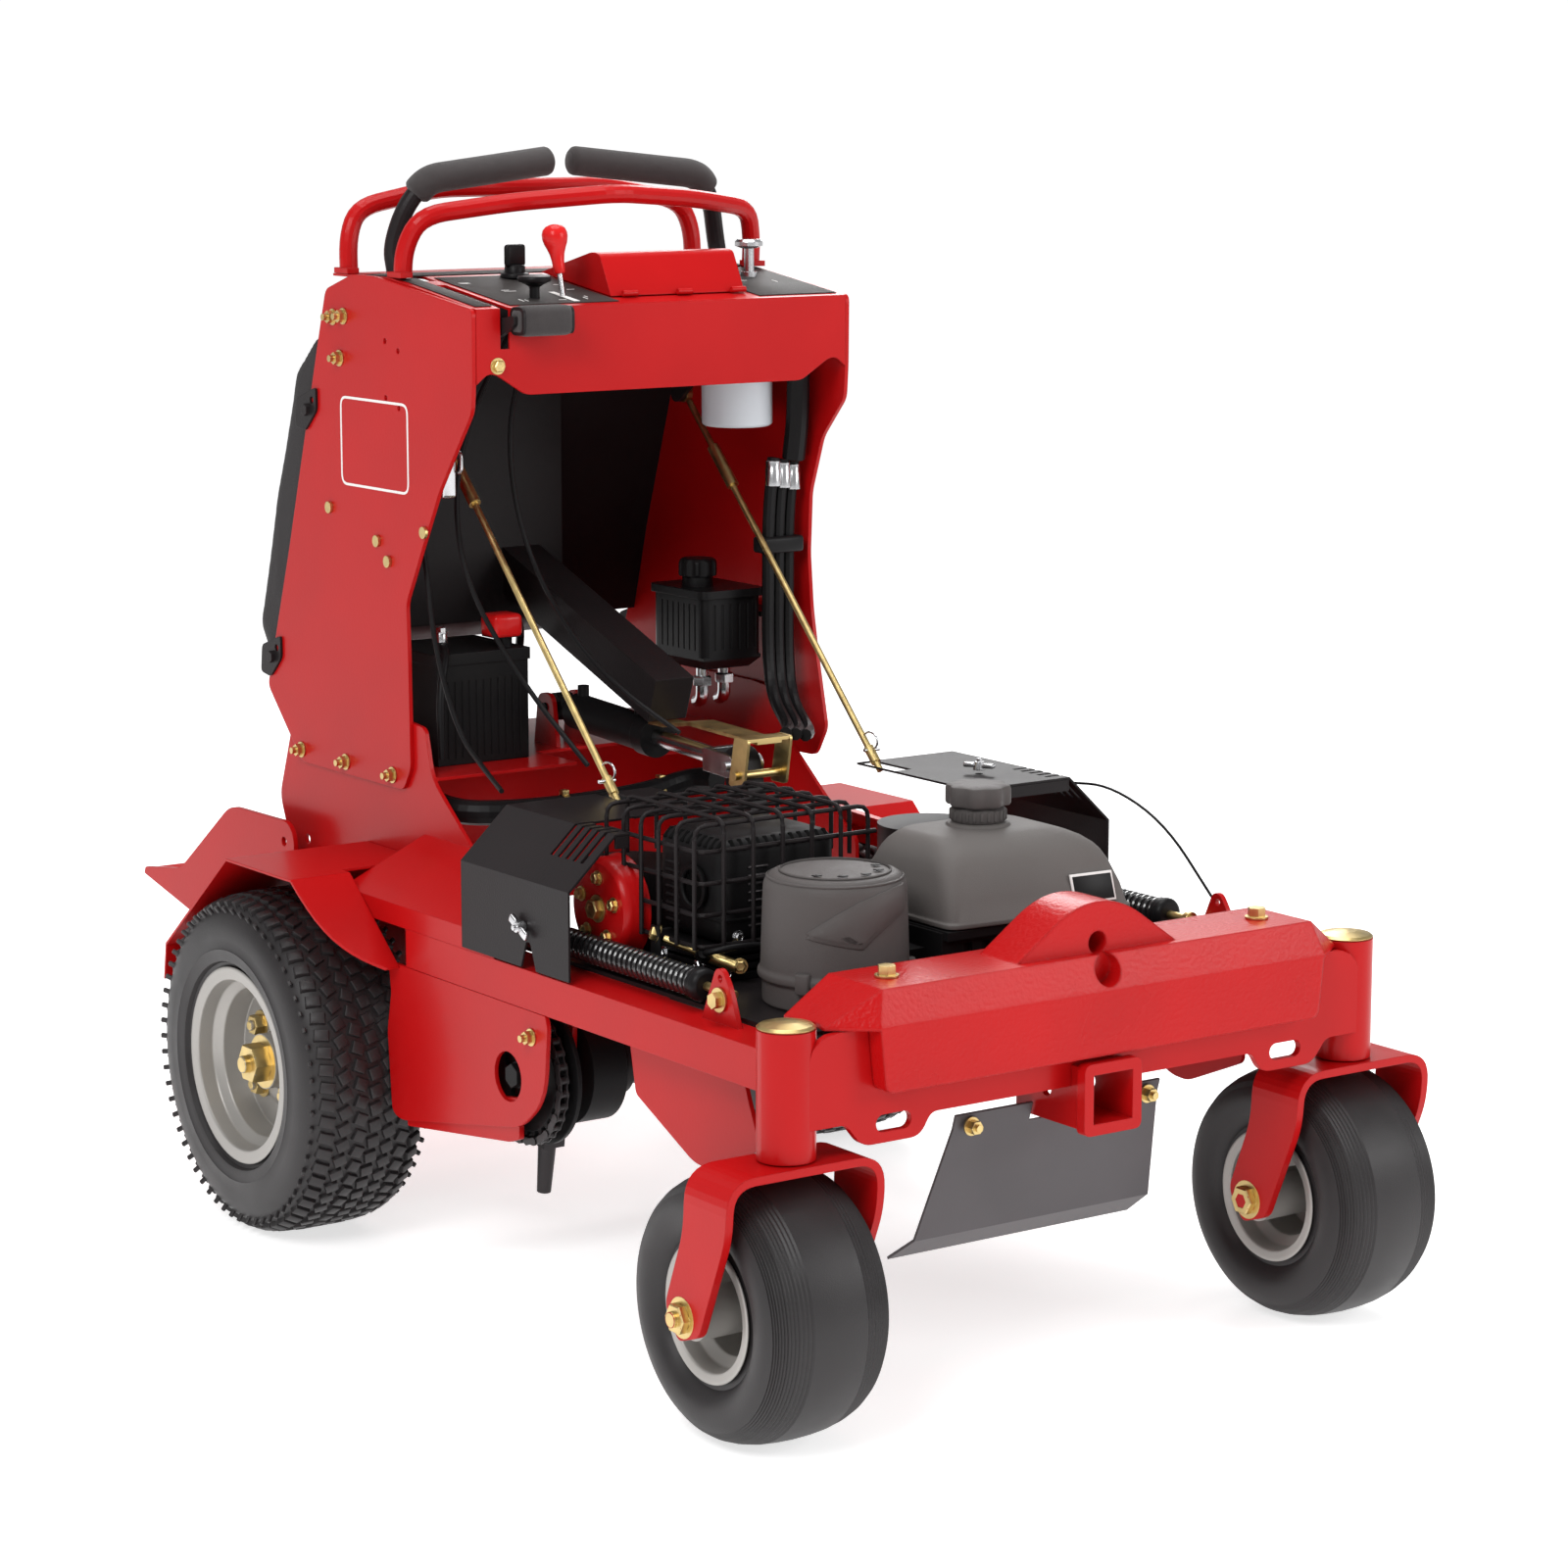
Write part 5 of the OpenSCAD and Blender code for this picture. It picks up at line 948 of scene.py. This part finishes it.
done(joined(parts), "canisterMarks", "root", blackPlastic, smooth=30)
print("canister")

# Muffler shell: rounded box, vent rows, louvres and outlet; the vent openings and the outlet's hollow are painted
# shade
muffler = {"middle": (-167, 364, 498.5), "size": (0.150, 0.128, 0.115)}
shellBox = brick(fromFront(*muffler["middle"]), muffler["size"], 0.017, segments=5)
applyAll(shellBox)
band = brick(fromFront(-167, 364, 470), (0.1535, 0.1315, 0.0030), 0.001)
ring = turning([(0.0200, 0), (0.0232, -0.0005), (0.0246, -0.0030), (0.0246, -0.0062), (0.0200, -0.0062),
                (0.0186, -0.004),
                (0.0200, 0)], fromFront(-243, 350, 500), "X", 36)
applyAll(ring)
bolts = [hexHead(0.0095, 0.005, Vector(fromFront(x, 298.5, z)), (0, -1, 0)) for x,
         z in ((-112, 514), (-224, 452), (-112, 458))]
done(joined([shellBox, band, ring]), "mufflerShell", "root", satinBlack, ("muffler",), 38)
done(joined(bolts), "mufflerBolts", "root", brightSteel, smooth=30)
parts = []
for x in range(-226, -104, 11):  # near-black slots along the front shoulder, painted shade where the vent openings are
    parts.append(brick(fromFront(x, 305.6, 549.8), (0.0056, 0.0150, 0.0030), 0.0010, (math.radians(45), 0, 0), 1))
for y in range(314, 420, 11):  # and along the near shoulder
    parts.append(brick(fromFront(-236.4, y, 549.8), (0.0150, 0.0056, 0.0030), 0.0010, (0, math.radians(-45), 0), 1))
# a near-black disc just inside the outlet ring, painted shade for the hollow of the pipe
parts.append(rod(0.0186, 0, -0.0006, fromFront(-242.2, 350, 500), "X", 32))
# near-black finish for the vents and the outlet: painted shade, not a real black part
done(joined(parts), "mufflerVentShade", "root", makeFinish("ventPaintedShade", srgb(7, 7, 7), 0.8, spec=0.1, mottle=0.05),
     smooth=30)
parts = []
for z in range(462, 530, 9):
    parts.append(brick(fromFront(-197, 300.6, z), (0.026, 0.0052, 0.0034), 0.0010, (math.radians(-24), 0, 0), 1))
for z in range(456, 520, 9):
    parts.append(brick(fromFront(-241.2, 396, z), (0.0052, 0.026, 0.0034), 0.0010, (0, math.radians(24), 0), 1))
done(joined(parts), "mufflerLouvres", "root", darkSteel, smooth=30)

# Engine dressing: linkage, leads, studs and the pump's pulley
linkage = joined([tube([fromFront(-282, 352, 448), fromFront(-246, 296, 428)], 0.0052, 3, 0.8),
                  tube([fromFront(-262, 320, 437), fromFront(-236, 282, 424)], 0.0078, 3, 0.9),
                  hexHead(0.014, 0.008, Vector(fromFront(-286, 360, 452)), (-0.8, 0.4, 0.3)),
                  hexHead(0.011, 0.006, Vector(fromFront(-234, 280, 425)), (-0.5, -0.8, 0.1))])
done(linkage, "chokeLinkage", "root", gold, smooth=40)
bracket = plate([fromFront(-291, 366, z) for z in (404, 462)] + [fromFront(-291, 350, 462),
                                                                 fromFront(-291, 346, 404)],
                (0.0028, 0, 0), 0.0008)
plug = aim(turning([(0.0001, 0), (0.0085, 0), (0.0100, 0.003), (0.0088, 0.014), (0.0072, 0.026), (0.0058, 0.030),
                    (0.0001, 0.030)], (0, 0, 0), "Z", 24), Vector(fromFront(-256, 316, 434)), (-0.5, -0.72, 0.25))
lead = tube(roundPath([fromFront(-270, 295, 441), fromFront(-276, 276, 446), fromFront(-246, 262, 452),
                       fromFront(-150, 270, 440), fromFront(-100, 280, 452)], 0.022, 6), 0.0036, 3, 0.8)
line = tube(roundPath([fromFront(-96, 268, 462), fromFront(-106, 240, 440), fromFront(-104, 200, 424),
                       fromFront(-96, 172, 430)], 0.02, 6), 0.0046, 3, 0.8)
done(joined([bracket, plug, lead, line]), "engineLeads", "root", cableJacket, smooth=40)
studs = [hexHead(0.010, 0.006, Vector(fromFront(x, y, z)), d) for x, y, z, d in
         ((-94, 298.5, 430, (0, -1, 0)), (-150, 298.5, 414, (0, -1, 0)), (-240, 298.5, 414, (0, -1, 0)),
          (-60, 118.5, 414, (0, -1, 0)), (20, 118.5, 414, (0, -1, 0)), (120, 118.5, 414, (0, -1, 0)),
          (-251.5, 330, 420, (-1, 0, 0)), (-251.5, 400, 420, (-1, 0, 0)))]
done(joined(studs), "engineStuds", "root", brightSteel, smooth=30)
drum = turning([(0.0001, 0), (0.050, 0), (0.054, 0.003), (0.056, 0.009), (0.056, 0.028), (0.058, 0.031),
                (0.0001, 0.031)],
               fromFront(-302, 452, 466), "X", 56)
done(drum, "pumpPulley", "root", redPaint, smooth=35)
bolts = [hexHead(0.011, 0.006, Vector(fromFront(-303.6, 452 + 34 * math.cos(a), 466 + 34 * math.sin(a))), (-1, 0, 0))
         for a in (math.radians(20 + 72 * i) for i in range(5))]
bolts.append(hexHead(0.020, 0.009, Vector(fromFront(-303.6, 452, 466)), (-1, 0, 0)))
done(joined(bolts), "pulleyBolts", "root", gold, smooth=30)
print("engine")

# Hairpins at the lower ends of the control rods
for name, side in sides:
    at = Vector(fromAxle(side * 183, -385, 569))
    loop = [at + Vector((0, 0.014 * math.cos(a), 0.013 + 0.010 * math.sin(a))) for a in
            (math.radians(-80 + 20 * i) for i in range(17))]
    pin = tube([at + Vector((-side * 0.009, 0, 0.002)), at + Vector((side * 0.013, 0, 0.002))], 0.0022, 2)
    ringPin = tube(loop, 0.0013, 2, closed=True)
    done(joined([pin, ringPin]), "hairpin_" + name, "rod_" + name, brightSteel, smooth=60)

# Wing nuts of the belt covers, drawn round the plain ones of the frame
wingNut = {"hub": 0.0070, "tip": 0.0055, "height": 0.0095, "wing": (0.0134, 0.0096, 0.0056), "middle": 0.0120}
turned = math.radians(28)
nuts = []
for place, axis, reach in ((fromAxle(-373.0, -508, 448), Vector((-1, 0, 0)),
                            Vector((0, math.cos(turned), math.sin(turned)))),
                           (fromAxle(240, -520, 561), Vector((0, 0, 1)),
                            Vector((-math.sin(turned), math.cos(turned), 0)))):
    hub = turning([(0.0001, -0.0004), (wingNut["hub"], -0.0004), (wingNut["hub"], 0.001),
                   (wingNut["tip"], wingNut["height"]),
                   (0.0030, wingNut["height"] + 0.0002), (0.0030, 0.0130), (0.0001, 0.0132)], (0, 0, 0), "Z", 32)
    nut = joined([hub] + [brick((s * wingNut["middle"], 0, 0.005), wingNut["wing"], 0.0016,
                                segments=3) for s in (-1, 1)])
    nut.rotation_mode = "QUATERNION"
    nut.rotation_quaternion = Matrix((reach, axis.cross(reach), axis)).transposed().to_quaternion()
    nut.location = place
    only(nut)
    bpy.ops.object.transform_apply(location=True, rotation=True, scale=True)
    nuts.append(nut)
done(joined(nuts), "wingNuts", "root", brightSteel, smooth=35)

# A plain rounded outline on the tower's right side
outline = {"x": -262.0, "y": (915, 1075), "z": (872, 978), "radius": 0.014, "line": 0.0030}
(y0, y1), (z0, z1) = outline["y"], outline["z"]
corners = [(y0, z0), (y1, z0), (y1, z1), (y0, z1)]
frameLine = [Vector(fromFront(outline["x"], y, z)) for y, z in corners]
badge = drawLine(roundLoop(frameLine, outline["radius"]), filled=True)
edit()
bpy.ops.mesh.inset(thickness=outline["line"])
bpy.ops.mesh.delete(type="FACE")
bpy.ops.mesh.select_all(action="SELECT")
bpy.ops.mesh.extrude_region_move(TRANSFORM_OT_translate={"value": (-0.0004, 0, 0)})
back()
done(badge, "plainOutline", "root", whiteInk, smooth=30)
print("small parts")
